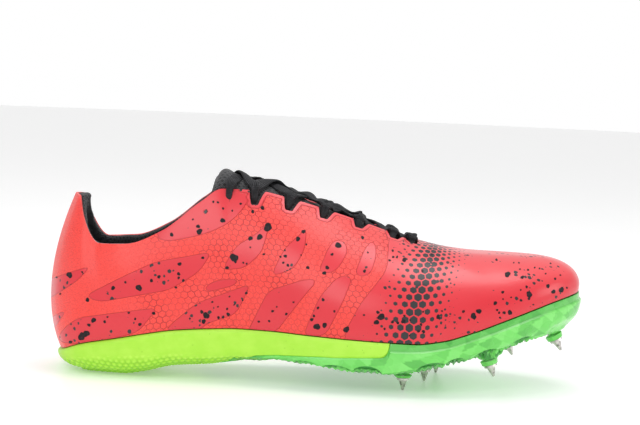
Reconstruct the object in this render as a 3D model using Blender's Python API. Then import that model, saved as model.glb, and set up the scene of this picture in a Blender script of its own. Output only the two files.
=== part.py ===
"""Track spike shoe for the right foot, standing empty on its heel and on its spikes.

Heel to toe runs along +X, the outer (lateral) side faces -Y and +Z is up. The origin is the
middle of the heel's flat spot, on the ground plane. All lengths are in metres.
"""
import math

import bmesh
import bpy
import numpy as np
from mathutils import Matrix, Vector

# Driving sizes of the last
SHOE_LENGTH = 0.280
BALL_WIDTH = 0.092
HEEL_HEIGHT = 0.092
INSTEP_HEIGHT = 0.100
SOLE_HEIGHT = 0.030

# Walls and clearances
UPPER_WALL = 0.0018
LINING_WALL = 0.0022
INSOLE_THICK = 0.0030
TONGUE_THICK = 0.0034
TONGUE_ROLL = 0.0016
PLATE_WALL = 0.0030
RIM_STEP = 0.0012
RIM_LEDGE = 0.0021
GAP = 0.0003
SEAT_GAP = 0.0005
SOFT_GAP = 0.0006

# Notches of the lace edge
NOTCH_COUNT = 5
NOTCH_PITCH = 0.0180
NOTCH_BACK = 0.0010
NOTCH_FLOOR = 0.0036
NOTCH_SLOPE = 0.0037
NOTCH_DEPTH = 0.0088
NOTCH_DEPTH_LAST = 0.0062

# Laces
LACE_WIDTH = 0.0062
LACE_THICK = 0.0012
LACE_TIP_WIDTH = 0.0015
LACE_LIFT = 0.0022
EYELET_PLACE = 0.0590
EYELET_DEPTH = 0.0060

# Spike plate
PLATE_REAR = 0.0480
PLATE_SIDE_START = 0.0760
PLATE_NOSE = 0.1435
SEAM = 0.0004
NOSE_RELIEF = 0.0018
SCALLOP_DEPTH = 0.0010
SERRATION = 0.0009
BOSS_RADIUS = 0.0046
SEAT_HEIGHT = 0.0026

# Spikes
SPIKE_FLANGE_RADIUS = 0.0033
SPIKE_FLANGE_THICK = 0.0011
SPIKE_CONE_RADIUS = 0.0023
SPIKE_TIP_RADIUS = 0.0006
SPIKE_LENGTH = 0.0064

# Sections of the last from heel to toe tip, one row each. Columns, as shares:
# foot x (of SHOE_LENGTH), foot half width lateral and medial (of BALL_WIDTH), foot height
# (of SOLE_HEIGHT), lower handle out (of BALL_WIDTH) and up (of INSTEP_HEIGHT), edge x
# (of SHOE_LENGTH), edge half width lateral and medial (of BALL_WIDTH), edge height (of
# HEEL_HEIGHT in the first four rows, then of INSTEP_HEIGHT), upper handle out and down
LAST_ROWS = (
    (-0.098, 0.0, 0.0, 0.343, 0.092, 0.180, -0.079, 0.0, 0.0, 1.000, 0.158, 0.360),
    (-0.086, 0.158, 0.158, 0.393, 0.087, 0.180, -0.070, 0.092, 0.092, 0.993, 0.152, 0.340),
    (-0.050, 0.288, 0.288, 0.550, 0.071, 0.190, -0.055, 0.179, 0.179, 0.870, 0.120, 0.240),
    (0.018, 0.342, 0.342, 0.697, 0.049, 0.160, -0.023, 0.245, 0.245, 0.739, 0.082, 0.150),
    (0.067, 0.359, 0.348, 0.797, 0.033, 0.150, 0.029, 0.283, 0.283, 0.687, 0.071, 0.140),
    (0.121, 0.364, 0.332, 0.887, 0.022, 0.170, 0.093, 0.283, 0.277, 0.764, 0.071, 0.140),
    (0.186, 0.375, 0.304, 0.943, 0.022, 0.220, 0.157, 0.245, 0.239, 0.910, 0.076, 0.150),
    (0.243, 0.391, 0.288, 0.973, 0.027, 0.260, 0.200, 0.207, 0.201, 0.985, 0.087, 0.150),
    (0.300, 0.429, 0.293, 0.973, 0.027, 0.260, 0.257, 0.185, 0.179, 0.983, 0.109, 0.130),
    (0.371, 0.489, 0.326, 0.953, 0.027, 0.250, 0.339, 0.158, 0.152, 0.935, 0.152, 0.110),
    (0.443, 0.527, 0.380, 0.930, 0.027, 0.240, 0.421, 0.130, 0.125, 0.870, 0.185, 0.090),
    (0.507, 0.538, 0.429, 0.913, 0.027, 0.230, 0.493, 0.103, 0.098, 0.806, 0.212, 0.065),
    (0.557, 0.533, 0.457, 0.903, 0.027, 0.230, 0.543, 0.082, 0.082, 0.756, 0.228, 0.040),
    (0.607, 0.516, 0.462, 0.960, 0.033, 0.220, 0.582, 0.076, 0.082, 0.730, 0.239, 0.022),
    (0.664, 0.484, 0.451, 1.120, 0.033, 0.200, 0.621, 0.076, 0.082, 0.710, 0.239, 0.012),
    (0.721, 0.435, 0.418, 1.317, 0.033, 0.160, 0.661, 0.074, 0.082, 0.699, 0.217, 0.006),
    (0.771, 0.370, 0.370, 1.487, 0.033, 0.135, 0.700, 0.065, 0.076, 0.696, 0.207, 0.002),
    (0.814, 0.288, 0.299, 1.620, 0.030, 0.115, 0.736, 0.052, 0.065, 0.695, 0.196, 0.001),
    (0.845, 0.196, 0.207, 1.693, 0.028, 0.105, 0.761, 0.037, 0.048, 0.694, 0.185, 0.0),
    (0.863, 0.100, 0.105, 1.727, 0.026, 0.100, 0.775, 0.020, 0.024, 0.693, 0.185, 0.0),
    (0.869, 0.0, 0.0, 1.733, 0.025, 0.100, 0.780, 0.0, 0.0, 0.692, 0.185, 0.0),
)
HEEL_ROWS = 4

# Sole at the same sections: inset of the lower edge from the rim (of BALL_WIDTH), height of the
# lower edge lateral and medial, and hollow of the underside (of SOLE_HEIGHT)
SOLE_ROWS = (
    (0.133, 0.007, 0.007, 0.0),
    (0.114, 0.0, 0.0, 0.0),
    (0.098, 0.0, 0.0, 0.0),
    (0.087, 0.0, 0.0, 0.0),
    (0.076, 0.057, 0.057, 0.010),
    (0.067, 0.173, 0.167, 0.027),
    (0.061, 0.220, 0.213, 0.047),
    (0.057, 0.297, 0.287, 0.067),
    (0.054, 0.310, 0.310, 0.087),
    (0.054, 0.260, 0.280, 0.110),
    (0.054, 0.173, 0.213, 0.130),
    (0.054, 0.147, 0.163, 0.150),
    (0.057, 0.200, 0.160, 0.160),
    (0.061, 0.297, 0.223, 0.150),
    (0.065, 0.480, 0.360, 0.087),
    (0.071, 0.627, 0.540, 0.080),
    (0.071, 0.813, 0.753, 0.073),
    (0.082, 0.947, 0.920, 0.060),
    (0.092, 1.037, 1.023, 0.040),
    (0.103, 1.080, 1.073, 0.020),
    (0.114, 1.100, 1.100, 0.0),
)

# Rows between which the heel stands flat, and how far its middle seam keeps from the mount there
HEEL_FLAT_ROWS = (2.0, 3.0)
HEEL_SEAM_TURN = 0.15

# Spikes: name, x (of SHOE_LENGTH), y (of BALL_WIDTH), lean to the toe in degrees, and whether
# the tip stands on the ground
SPIKES = (
    ("toe_lateral", 0.818, -0.130, 28.0, False),
    ("toe_medial", 0.823, 0.140, 28.0, False),
    ("second_lateral", 0.697, -0.310, 19.0, False),
    ("second_medial", 0.745, 0.275, 26.0, False),
    ("ball_lateral", 0.543, -0.318, 0.0, True),
    ("ball_centre", 0.588, -0.010, 0.0, True),
    ("ball_medial", 0.616, 0.285, 0.0, True),
)

# Counts of stations and columns
SOLE_STATIONS = 32
INSOLE_STATIONS = 27
PLATE_SIDE_COLUMNS = 4
RIM_COLUMNS = 5
SPIKE_SIDES = 10
BOSS_SIDES = 10
NOSE_SHARE = 1.44
BORDER_GAP = 0.055

# Materials: base colour, roughness, metallic
FINISHES = {
    "upper_film": ((0.80, 0.075, 0.065), 0.38, 0.0),
    "black_mesh": ((0.012, 0.012, 0.014), 0.80, 0.0),
    "lace_weave": ((0.010, 0.010, 0.012), 0.70, 0.0),
    "foam": ((0.38, 0.76, 0.055), 0.55, 0.0),
    "plate_tpu": ((0.11, 0.62, 0.12), 0.25, 0.0),
    "spike_steel": ((0.62, 0.60, 0.57), 0.28, 1.0),
}

# How the rows of a table continue past heel and toe
EVEN = 1.0
ODD = -1.0


def remove_all():
    """Empty the scene."""
    for obj in list(bpy.data.objects):
        bpy.data.objects.remove(obj, do_unlink=True)


def slopes(values, parity):
    """Slopes at the rows of one column, without overshoot between rows."""
    steps = np.diff(values)
    inner = np.where(
        steps[1:] * steps[:-1] > 0.0,
        2.0 * steps[1:] * steps[:-1] / np.where(steps[1:] + steps[:-1] == 0.0, 1.0, steps[1:] + steps[:-1]),
        0.0,
    )
    first = 0.0 if parity == EVEN else steps[0]
    last = 0.0 if parity == EVEN else steps[-1]
    return np.concatenate(([first], inner, [last]))


def column(values, row, parity=EVEN):
    """Value of a table column at a fractional row number."""
    values = np.asarray(values, dtype=float)
    tangents = slopes(values, parity)
    base = min(int(math.floor(row)), len(values) - 2)
    part = row - base
    a = 2 * part ** 3 - 3 * part ** 2 + 1
    b = part ** 3 - 2 * part ** 2 + part
    c = -2 * part ** 3 + 3 * part ** 2
    d = part ** 3 - part ** 2
    return float(
        a * values[base] + b * tangents[base] + c * values[base + 1] + d * tangents[base + 1]
    )


class Last:
    """The last: outline at the foot line, lace and collar edge, wall and sole surfaces."""

    def __init__(self):
        """Scale the tables by the driving sizes."""
        rows = np.array(LAST_ROWS)
        sole = np.array(SOLE_ROWS)
        edge_scale = np.where(np.arange(len(rows)) < HEEL_ROWS, HEEL_HEIGHT, INSTEP_HEIGHT)
        self.last_row = len(rows) - 1
        self.foot_x = rows[:, 0] * SHOE_LENGTH
        self.foot_y = {-1: rows[:, 1] * BALL_WIDTH, 1: rows[:, 2] * BALL_WIDTH}
        self.foot_z = rows[:, 3] * SOLE_HEIGHT
        self.low_out = rows[:, 4] * BALL_WIDTH
        self.low_up = rows[:, 5] * INSTEP_HEIGHT
        self.edge_x = rows[:, 6] * SHOE_LENGTH
        self.edge_y = {-1: rows[:, 7] * BALL_WIDTH, 1: rows[:, 8] * BALL_WIDTH}
        self.edge_z = rows[:, 9] * edge_scale
        self.high_out = rows[:, 10] * BALL_WIDTH
        self.high_down = rows[:, 11] * INSTEP_HEIGHT
        self.inset = sole[:, 0] * BALL_WIDTH
        self.low_z = {-1: sole[:, 1] * SOLE_HEIGHT, 1: sole[:, 2] * SOLE_HEIGHT}
        self.hollow = sole[:, 3] * SOLE_HEIGHT
        grid = np.linspace(0.0, self.last_row, 801)
        self.grid_rows = grid
        self.grid_edge_x = np.array([column(self.edge_x, g) for g in grid])
        self.grid_foot_x = np.array([column(self.foot_x, g) for g in grid])
        self.grid_foot_z = np.array([column(self.foot_z, g) for g in grid])

    def bed(self, x):
        """Height of the footbed, which is level from side to side."""
        return float(np.interp(x, self.grid_foot_x, self.grid_foot_z)) - SEAT_GAP

    def foot(self, row, side):
        """Foot line point of a side at a row."""
        return np.array((
            column(self.foot_x, row),
            side * column(self.foot_y[side], row, ODD),
            column(self.foot_z, row),
        ))

    def edge(self, row, side):
        """Point of the collar and lace edge, or of its continuation over the vamp."""
        return np.array((
            column(self.edge_x, row),
            side * column(self.edge_y[side], row, ODD),
            column(self.edge_z, row),
        ))

    def outward(self, row, side):
        """Level unit vector square to the foot line, pointing away from the foot."""
        step = 0.02
        low = self.foot(max(row - step, 0.0), side)
        high = self.foot(min(row + step, float(self.last_row)), side)
        if row < step:
            low = self.foot(step, -side)
        if row > self.last_row - step:
            high = self.foot(self.last_row - step, -side)
        along = high - low
        normal = np.array((along[1], -along[0], 0.0)) * -side
        return normal / np.linalg.norm(normal)

    def wall(self, row, side, rise):
        """Outer surface of the upper; rise runs from 0 at the foot line to 1 at the edge."""
        start = self.foot(row, side)
        end = self.edge(row, side)
        out = self.outward(row, side)
        up = np.array((0.0, 0.0, 1.0))
        low = start + out * column(self.low_out, row) + up * column(self.low_up, row)
        high = end + out * column(self.high_out, row) - up * column(self.high_down, row)
        rest = 1.0 - rise
        return (
            start * rest ** 3 + low * 3 * rest ** 2 * rise + high * 3 * rest * rise ** 2
            + end * rise ** 3
        )

    def bridge(self, row, across):
        """Surface between the two edges; across runs from 0 lateral to 1 medial."""
        lateral = self.edge(row, -1)
        medial = self.edge(row, 1)
        reach = np.linalg.norm(medial - lateral) / 3.0
        handles = []
        for side, point in ((-1, lateral), (1, medial)):
            toward = point - self.wall(row, side, 0.97)
            toward[0] = 0.0
            length = max(np.linalg.norm(toward), 1e-9)
            handles.append(point + toward / length * reach)
        rest = 1.0 - across
        return (
            lateral * rest ** 3 + handles[0] * 3 * rest ** 2 * across
            + handles[1] * 3 * rest * across ** 2 + medial * across ** 3
        )

    def girth(self, row, turn):
        """Wall and bridge as one surface; turn is -2 and 2 at the foot line, -1 and 1 at the edges."""
        if turn <= -1.0:
            return self.wall(row, -1, 2.0 + turn)
        if turn >= 1.0:
            return self.wall(row, 1, 2.0 - turn)
        return self.bridge(row, (turn + 1.0) / 2.0)

    def rim(self, row, side):
        """Top outer corner of the sole."""
        point = self.foot(row, side) + self.outward(row, side) * RIM_STEP
        point[2] -= SEAT_GAP
        return point

    def low_edge(self, row, side):
        """Lower edge of the sole's side."""
        point = self.rim(row, side) - self.outward(row, side) * column(self.inset, row)
        point[2] = column(self.low_z[side], row)
        return point

    def sole(self, row, turn):
        """Outside of the sole; turn is -2 and 2 at the rims, -1 and 1 at the lower edges."""
        if abs(turn) >= 1.0:
            side = -1 if turn < 0 else 1
            drop = 2.0 - abs(turn)
            top = self.rim(row, side)
            low = self.low_edge(row, side)
            out = self.outward(row, side)
            height = top[2] - low[2]
            first = top + out * 0.0012 - np.array((0.0, 0.0, 0.45 * height))
            second = low + out * 0.72 * column(self.inset, row) + np.array((0.0, 0.0, 0.02 * height))
            rest = 1.0 - drop
            return (
                top * rest ** 3 + first * 3 * rest ** 2 * drop + second * 3 * rest * drop ** 2
                + low * drop ** 3
            )
        lateral = self.low_edge(row, -1)
        medial = self.low_edge(row, 1)
        point = lateral + (medial - lateral) * (turn + 1.0) / 2.0
        point[2] += column(self.hollow, row) * (1.0 - turn ** 4)
        return point

    def sole_inside(self, row, turn, depth):
        """Point of the sole's outside moved in: level at the rim, straight up at the lower edge."""
        side = -1 if turn < 0 else 1
        lean = min(max((abs(turn) - 1.0) / 0.5, 0.0), 1.0) * math.pi / 2.0
        move = np.array((0.0, 0.0, math.cos(lean))) - self.outward(row, side) * math.sin(lean)
        return self.sole(row, turn) + move * depth

    def row_at_edge(self, x):
        """Row whose edge point has the given x."""
        return float(np.interp(x, self.grid_edge_x, self.grid_rows))

    def row_at_foot(self, x):
        """Row whose foot line has the given x."""
        return float(np.interp(x, self.grid_foot_x, self.grid_rows))


def surface_normal(function, row, turn, last_row):
    """Unit normal of a (row, turn) surface, from central differences."""
    step = 0.02
    if abs(turn) < 1.02:
        if row < 0.01 or row > last_row - 0.01:
            turn = 0.0
        row = min(max(row, 0.3), last_row - 0.3)
    row_low, row_high = max(row - step, 0.0), min(row + step, last_row)
    low_turn, high_turn = max(turn - step, -2.0), min(turn + step, 2.0)
    along = function(row_high, turn) - function(row_low, turn)
    across = function(row, high_turn) - function(row, low_turn)
    if row < step:
        along = function(step, turn) - function(step, -turn)
    if row > last_row - step:
        along = function(last_row - step, -turn) - function(last_row - step, turn)
    normal = np.cross(along, across)
    return normal / max(np.linalg.norm(normal), 1e-12)


def inward(function, row, turn, depth, last_row):
    """Point of the surface moved by depth against its outward normal."""
    normal = surface_normal(function, row, turn, last_row)
    return function(row, turn) + normal * -depth


def smooth(obj, angle=40.0):
    """Shade round faces smooth and keep edges over the angle sharp."""
    obj.data.shade_smooth()
    obj.data.set_sharp_from_angle(angle=math.radians(angle))


def material(name):
    """Principled material of a named finish."""
    found = bpy.data.materials.get(name)
    if found:
        return found
    colour, roughness, metallic = FINISHES[name]
    made = bpy.data.materials.new(name)
    made.use_nodes = True
    shader = made.node_tree.nodes["Principled BSDF"]
    shader.inputs["Base Color"].default_value = (*colour, 1.0)
    shader.inputs["Roughness"].default_value = roughness
    shader.inputs["Metallic"].default_value = metallic
    made.diffuse_color = (*colour, 1.0)
    return made


def make_object(name, bm, finish):
    """Object from a bmesh, its faces turned outward."""
    bmesh.ops.remove_doubles(bm, verts=bm.verts, dist=0.00001)
    if bm.calc_volume(signed=True) < 0.0:
        bmesh.ops.reverse_faces(bm, faces=bm.faces)
    mesh = bpy.data.meshes.new(name)
    bm.to_mesh(mesh)
    bm.free()
    obj = bpy.data.objects.new(name, mesh)
    bpy.context.scene.collection.objects.link(obj)
    mesh.materials.append(material(finish))
    return obj


def layered_solid(name, outer, inner, faces, finish):
    """Closed solid between two layers of points that share the same list of faces."""
    bm = bmesh.new()
    merged = {}

    def vert(point):
        key = tuple(np.round(point, 6))
        if key not in merged:
            merged[key] = bm.verts.new(Vector([float(c) for c in point]))
        return merged[key]

    def ring_of(verts):
        return [v for k, v in enumerate(verts) if v is not verts[k - 1]]

    top = {key: vert(point) for key, point in outer.items()}
    low = {key: vert(point) for key, point in inner.items()}
    open_edges = {}
    for face in faces:
        for layer, order in ((top, 1), (low, -1)):
            ring = ring_of([layer[key] for key in face][::order])
            if len(set(ring)) >= 3:
                bm.faces.new(ring)
        for k, key in enumerate(face):
            after = face[(k + 1) % len(face)]
            pair = (top[key], top[after])
            if pair[0] is pair[1]:
                continue
            if (pair[1], pair[0]) in open_edges:
                del open_edges[(pair[1], pair[0])]
            else:
                open_edges[pair] = (low[key], low[after])
    for (a, b), (c, d) in open_edges.items():
        bm.faces.new(ring_of([b, a, c, d]))
    return make_object(name, bm, finish)


def sheet_solid(name, outer, inner, finish, breaks=()):
    """Closed solid between two grids of points; breaks holds the (row, column) cells left open."""
    faces = [
        ((i, j), (i + 1, j), (i + 1, j + 1), (i, j + 1))
        for i in range(len(outer) - 1)
        for j in range(len(outer[0]) - 1)
        if (i, j) not in breaks
    ]
    top = {(i, j): point for i, line in enumerate(outer) for j, point in enumerate(line)}
    low = {(i, j): point for i, line in enumerate(inner) for j, point in enumerate(line)}
    return layered_solid(name, top, low, faces, finish)


def notch_rows(last):
    """Rows with the share of the wall that each keeps, at the corners of the lace notches."""
    cuts = []
    first = last.edge_x[7] + 0.0134
    for index in range(NOTCH_COUNT):
        start = first + index * NOTCH_PITCH
        depth = NOTCH_DEPTH + (NOTCH_DEPTH_LAST - NOTCH_DEPTH) * index / (NOTCH_COUNT - 1)
        places = (
            (start, 0.0),
            (start + NOTCH_BACK, depth),
            (start + NOTCH_BACK + NOTCH_FLOOR, depth),
            (start + NOTCH_BACK + NOTCH_FLOOR + NOTCH_SLOPE, 0.0),
        )
        cuts.extend((last.row_at_edge(x), cut) for x, cut in places)
    return cuts


def notch_middle(last, index):
    """Row at the middle of a notch's floor, and its depth."""
    start = last.edge_x[7] + 0.0134 + index * NOTCH_PITCH
    depth = NOTCH_DEPTH + (NOTCH_DEPTH_LAST - NOTCH_DEPTH) * index / (NOTCH_COUNT - 1)
    return last.row_at_edge(start + NOTCH_BACK + (NOTCH_FLOOR + NOTCH_SLOPE * 0.25) / 2.0), depth


def rise_at_depth(last, row, side, depth):
    """Rise on the wall at which the way up to the edge still measures the given depth."""
    rises = np.linspace(1.0, 0.6, 81)
    points = np.array([last.wall(row, side, r) for r in rises])
    lengths = np.concatenate(([0.0], np.cumsum(np.linalg.norm(np.diff(points, axis=0), axis=1))))
    return float(np.interp(depth, lengths, rises))


def upper_stations(last, closing):
    """Rows of the upper from heel to toe, each with its notch depth."""
    cuts = notch_rows(last)
    low, high = cuts[0][0], cuts[-1][0]
    plain = [row for row in np.arange(0.0, last.last_row + 0.01, 0.5) if row < low - 0.15 or row > high + 0.15]
    tabs = [((cuts[4 * k + 3][0] + cuts[4 * k + 4][0]) / 2.0, 0.0) for k in range(NOTCH_COUNT - 1)]
    stations = sorted(cuts + tabs + [(float(row), 0.0) for row in plain] + [(closing, 0.0)])
    kept = [stations[0]]
    for row, cut in stations[1:]:
        if row - kept[-1][0] > 0.04:
            kept.append((row, cut))
    return kept


WALL_RISES = (0.0, 0.14, 0.30, 0.46, 0.61, 0.75, 0.88, 1.0)
BRIDGE_STEPS = 3


def make_upper(last):
    """One hollow upper, open underneath, at the collar and along the throat."""
    closing = last.row_at_edge(0.158 * SHOE_LENGTH / 0.280)
    outer, inner = [], []
    stations = upper_stations(last, closing)
    columns = len(WALL_RISES)
    for row, cut in stations:
        turns = []
        for side in (-1, 1):
            top = rise_at_depth(last, row, side, cut) if cut else 1.0
            rises = WALL_RISES[:-2] + ((WALL_RISES[-3] + top) / 2.0, top)
            half = [side * (2.0 - rise) for rise in rises]
            turns.append(half)
        middle = [-1.0 + 2.0 * k / BRIDGE_STEPS for k in range(1, BRIDGE_STEPS)]
        line = turns[0] + middle + turns[1][::-1]
        outer.append([last.girth(row, turn) for turn in line])
        inner.append([inward(last.girth, row, turn, UPPER_WALL, last.last_row) for turn in line])
        for end in (0, -1):
            inner[-1][end][2] = last.bed(inner[-1][end][0]) + SEAT_GAP + GAP
    breaks = set()
    for i in range(len(stations) - 1):
        if stations[i][0] < closing - 0.001:
            for j in range(columns - 1, columns - 1 + BRIDGE_STEPS):
                breaks.add((i, j))
    obj = sheet_solid("upper", outer, inner, "upper_film", breaks)
    smooth(obj, 50.0)
    return obj


def make_lining(last):
    """Padded collar lining against the inside of the ankle."""
    outer, inner = [], []
    near = UPPER_WALL + SOFT_GAP
    rows = [k * 0.5 for k in range(13)] + [6.4]
    rises = (0.61, 0.75, 0.88, 0.985)
    pads = (0.3, 0.8, 1.0, 0.8)
    turns = [-(2.0 - rise) for rise in rises]
    for row in rows:
        outer.append([inward(last.girth, row, t, near, last.last_row) for t in turns])
        inner.append([
            inward(last.girth, row, t, near + LINING_WALL * pad, last.last_row)
            for t, pad in zip(turns, pads)
        ])
    mirrored_outer, mirrored_inner = [], []
    for row in rows[1:]:
        mirrored_outer.append([inward(last.girth, row, -t, near, last.last_row) for t in turns])
        mirrored_inner.append([
            inward(last.girth, row, -t, near + LINING_WALL * pad, last.last_row)
            for t, pad in zip(turns, pads)
        ])
    outer = mirrored_outer[::-1] + outer
    inner = mirrored_inner[::-1] + inner
    obj = sheet_solid("collar_lining", outer, inner, "black_mesh")
    smooth(obj, 60.0)
    return obj


def make_tongue(last):
    """Tongue under the lace edges, with its rolled top above the throat."""
    near = UPPER_WALL + SOFT_GAP
    turns = (-1.20, -1.1, -1.0, -0.7, -0.35, 0.0, 0.35, 0.7, 1.0, 1.1, 1.20)
    swell = (0.0, 0.0, 0.15, 0.75, 1.0, 1.0, 1.0, 0.75, 0.15, 0.0, 0.0)
    rows = [6.62, 6.8, 7.0, 7.25, 7.55, 7.9, 8.4, 9.0, 9.7, 10.4, 11.1, 11.8, 12.5, 13.0]
    outer, inner = [], []
    for row in rows:
        share = max(0.0, 1.0 - abs(row - 7.1) / 0.9)
        roll = TONGUE_ROLL * share * share * (3.0 - 2.0 * share)
        outer.append([
            inward(last.girth, row, t, near - roll * s, last.last_row) for t, s in zip(turns, swell)
        ])
        inner.append([
            inward(last.girth, row, t, near + TONGUE_THICK * (0.45 + 0.55 * s), last.last_row)
            for t, s in zip(turns, swell)
        ])
    obj = sheet_solid("tongue", outer, inner, "black_mesh")
    smooth(obj, 60.0)
    return obj


def footbed(last, row, across, inset, lift=0.0):
    """Point over the footbed: across runs from -1 lateral to 1 medial, inset from the rim."""
    left = last.rim(row, -1) - last.outward(row, -1) * inset
    right = last.rim(row, 1) - last.outward(row, 1) * inset
    point = left + (right - left) * (across + 1.0) / 2.0
    point[2] = last.bed(point[0]) + lift
    return point


def plate_share(last, row):
    """Half girth of the spike plate at a row: 1 at the lower edge of the side, 2 at the rim."""
    x = column(last.foot_x, row)
    if x >= PLATE_NOSE + 3 * SEAM:
        return 2.0
    if x >= PLATE_SIDE_START:
        share = (x - PLATE_SIDE_START) / (PLATE_NOSE - PLATE_SIDE_START)
        return 1.14 + (NOSE_SHARE - 1.14) * share
    share = max(0.0, (x - PLATE_REAR) / (PLATE_SIDE_START - PLATE_REAR))
    return 0.22 + 0.92 * math.sin(share * math.pi / 2.0) ** 0.8


def sole_stations(last):
    """Rows of the sole, with close pairs where the plate starts and at the foam's nose."""
    rear = last.row_at_foot(PLATE_REAR)
    nose = last.row_at_foot(PLATE_NOSE)
    metre = 1.0 / (column(last.foot_x, nose + 0.5) - column(last.foot_x, nose - 0.5))
    marks = {
        "heel_back": HEEL_FLAT_ROWS[0],
        "heel_front": HEEL_FLAT_ROWS[1],
        "rear_step": rear - SEAM * metre,
        "rear": rear,
        "nose": nose,
        "nose_step": nose + SEAM * metre,
        "full": nose + 4 * SEAM * metre,
    }
    special = list(marks.values())
    plain = [
        float(row) for row in np.linspace(0.0, last.last_row, SOLE_STATIONS)
        if min(abs(row - other) for other in special) > 0.12
    ]
    return sorted(plain + special), marks


def plate_turns(share):
    """Half girth places of the plate's columns, from its edge to the middle."""
    corner = min(1.0, share * 0.85)
    side = [share + (corner - share) * k / PLATE_SIDE_COLUMNS for k in range(PLATE_SIDE_COLUMNS)]
    return side + [corner, corner * 0.67, corner * 0.33]


def make_midsole(last):
    """Foam midsole: full width behind the nose, a core inside the plate's tray in front."""
    stations, marks = sole_stations(last)
    seat = PLATE_WALL + SOFT_GAP
    outer, inner = [], []
    for row in stations:
        share = min(plate_share(last, max(row, marks["rear"])), NOSE_SHARE)
        share += 0.5 * min(max((marks["rear_step"] - row) / 2.0, 0.0), 1.0)
        seam = HEEL_SEAM_TURN if row in HEEL_FLAT_ROWS else 0.0
        behind_rear = row < (marks["rear"] + marks["rear_step"]) / 2.0 - 0.5 * (marks["rear"] - marks["rear_step"])
        depth = 0.0 if behind_rear else seat
        if row > (marks["nose"] + marks["nose_step"]) / 2.0:
            tray = plate_turns(2.0)
            rim_depth = seat + (NOSE_RELIEF if row < marks["full"] + 1e-6 else 0.0)
            line = [(2.0 - 0.05 * k, rim_depth) for k in range(RIM_COLUMNS)]
            line += [(tray[1], rim_depth), (1.62, rim_depth)]
            line += [(t, rim_depth if t > 1.4 else seat) for t in tray[2:]]
        else:
            first = share + BORDER_GAP + 0.01
            if first > 1.0:
                line = [(2.0 + (first - 2.0) * k / (RIM_COLUMNS - 1), 0.0) for k in range(RIM_COLUMNS)]
            else:
                line = [(2.0 - k / (RIM_COLUMNS - 2), 0.0) for k in range(RIM_COLUMNS - 1)]
                line.append((first, 0.0))
            line += [(share + BORDER_GAP, depth)] + [(t, depth) for t in plate_turns(share)[1:]]
            rim_depth = 0.0
        turns = [(-t, d) for t, d in line] + [(seam, line[-1][1])] + line[::-1]
        outer.append([last.sole_inside(row, t, d) for t, d in turns])
        spread = [-math.cos(math.pi * k / (len(turns) - 1)) for k in range(len(turns))]
        ledge = RIM_LEDGE + rim_depth
        inner.append([footbed(last, row, s, ledge) for s in spread])
    obj = sheet_solid("midsole", outer, inner, "foam")
    smooth(obj, 50.0)
    return obj


def make_plate(last):
    """Spike plate: a tray under the forefoot that narrows under the arch."""
    stations, marks = sole_stations(last)
    rows = [row for row in stations if row >= marks["rear"] - 1e-6]
    outer, inner = [], []
    for index, row in enumerate(rows):
        share = plate_share(last, row)
        if row < (marks["nose_step"] + marks["full"]) / 2.0:
            share = min(share, NOSE_SHARE)
        line = plate_turns(share)
        turns = [-t for t in line] + [0.0] + line[::-1]
        wave = 1.0 if index % 2 else -1.0
        outside = []
        for turn in turns:
            push = 0.0
            if 1.05 < abs(turn) < 1.95 and row > marks["full"]:
                push = SCALLOP_DEPTH * wave
            point = last.sole_inside(row, turn, -push)
            if abs(abs(turn) - 1.0) < 1e-6 and marks["full"] < row < last.last_row - 2:
                point[2] += SERRATION * wave
            outside.append(point)
        outer.append(outside)
        inner.append([last.sole_inside(row, t, PLATE_WALL) for t in turns])
    return sheet_solid("spike_plate", outer, inner, "plate_tpu")


def make_insole(last):
    """Insole on the footbed, inside the foot of the upper."""
    rows = list(np.linspace(0.35, last.last_row - 0.35, INSOLE_STATIONS))
    steps = [-math.cos(math.pi * k / 8) for k in range(9)]
    inset = RIM_STEP + UPPER_WALL + 0.0010
    under, over = [], []
    for row in rows:
        under.append([footbed(last, row, s, inset, SOFT_GAP) for s in steps])
        over.append([footbed(last, row, s, inset, SOFT_GAP + INSOLE_THICK) for s in steps])
    obj = sheet_solid("insole", under, over, "black_mesh")
    smooth(obj, 50.0)
    return obj


def lace_ends(last, index, side):
    """Row and rise where the laces end at a pair: 0 is the eyelet pair, then the notches."""
    if index == 0:
        row = last.row_at_edge(EYELET_PLACE)
        return row, rise_at_depth(last, row, side, EYELET_DEPTH)
    row, depth = notch_middle(last, index - 1)
    return row, rise_at_depth(last, row, side, 0.55 * depth)


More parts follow.
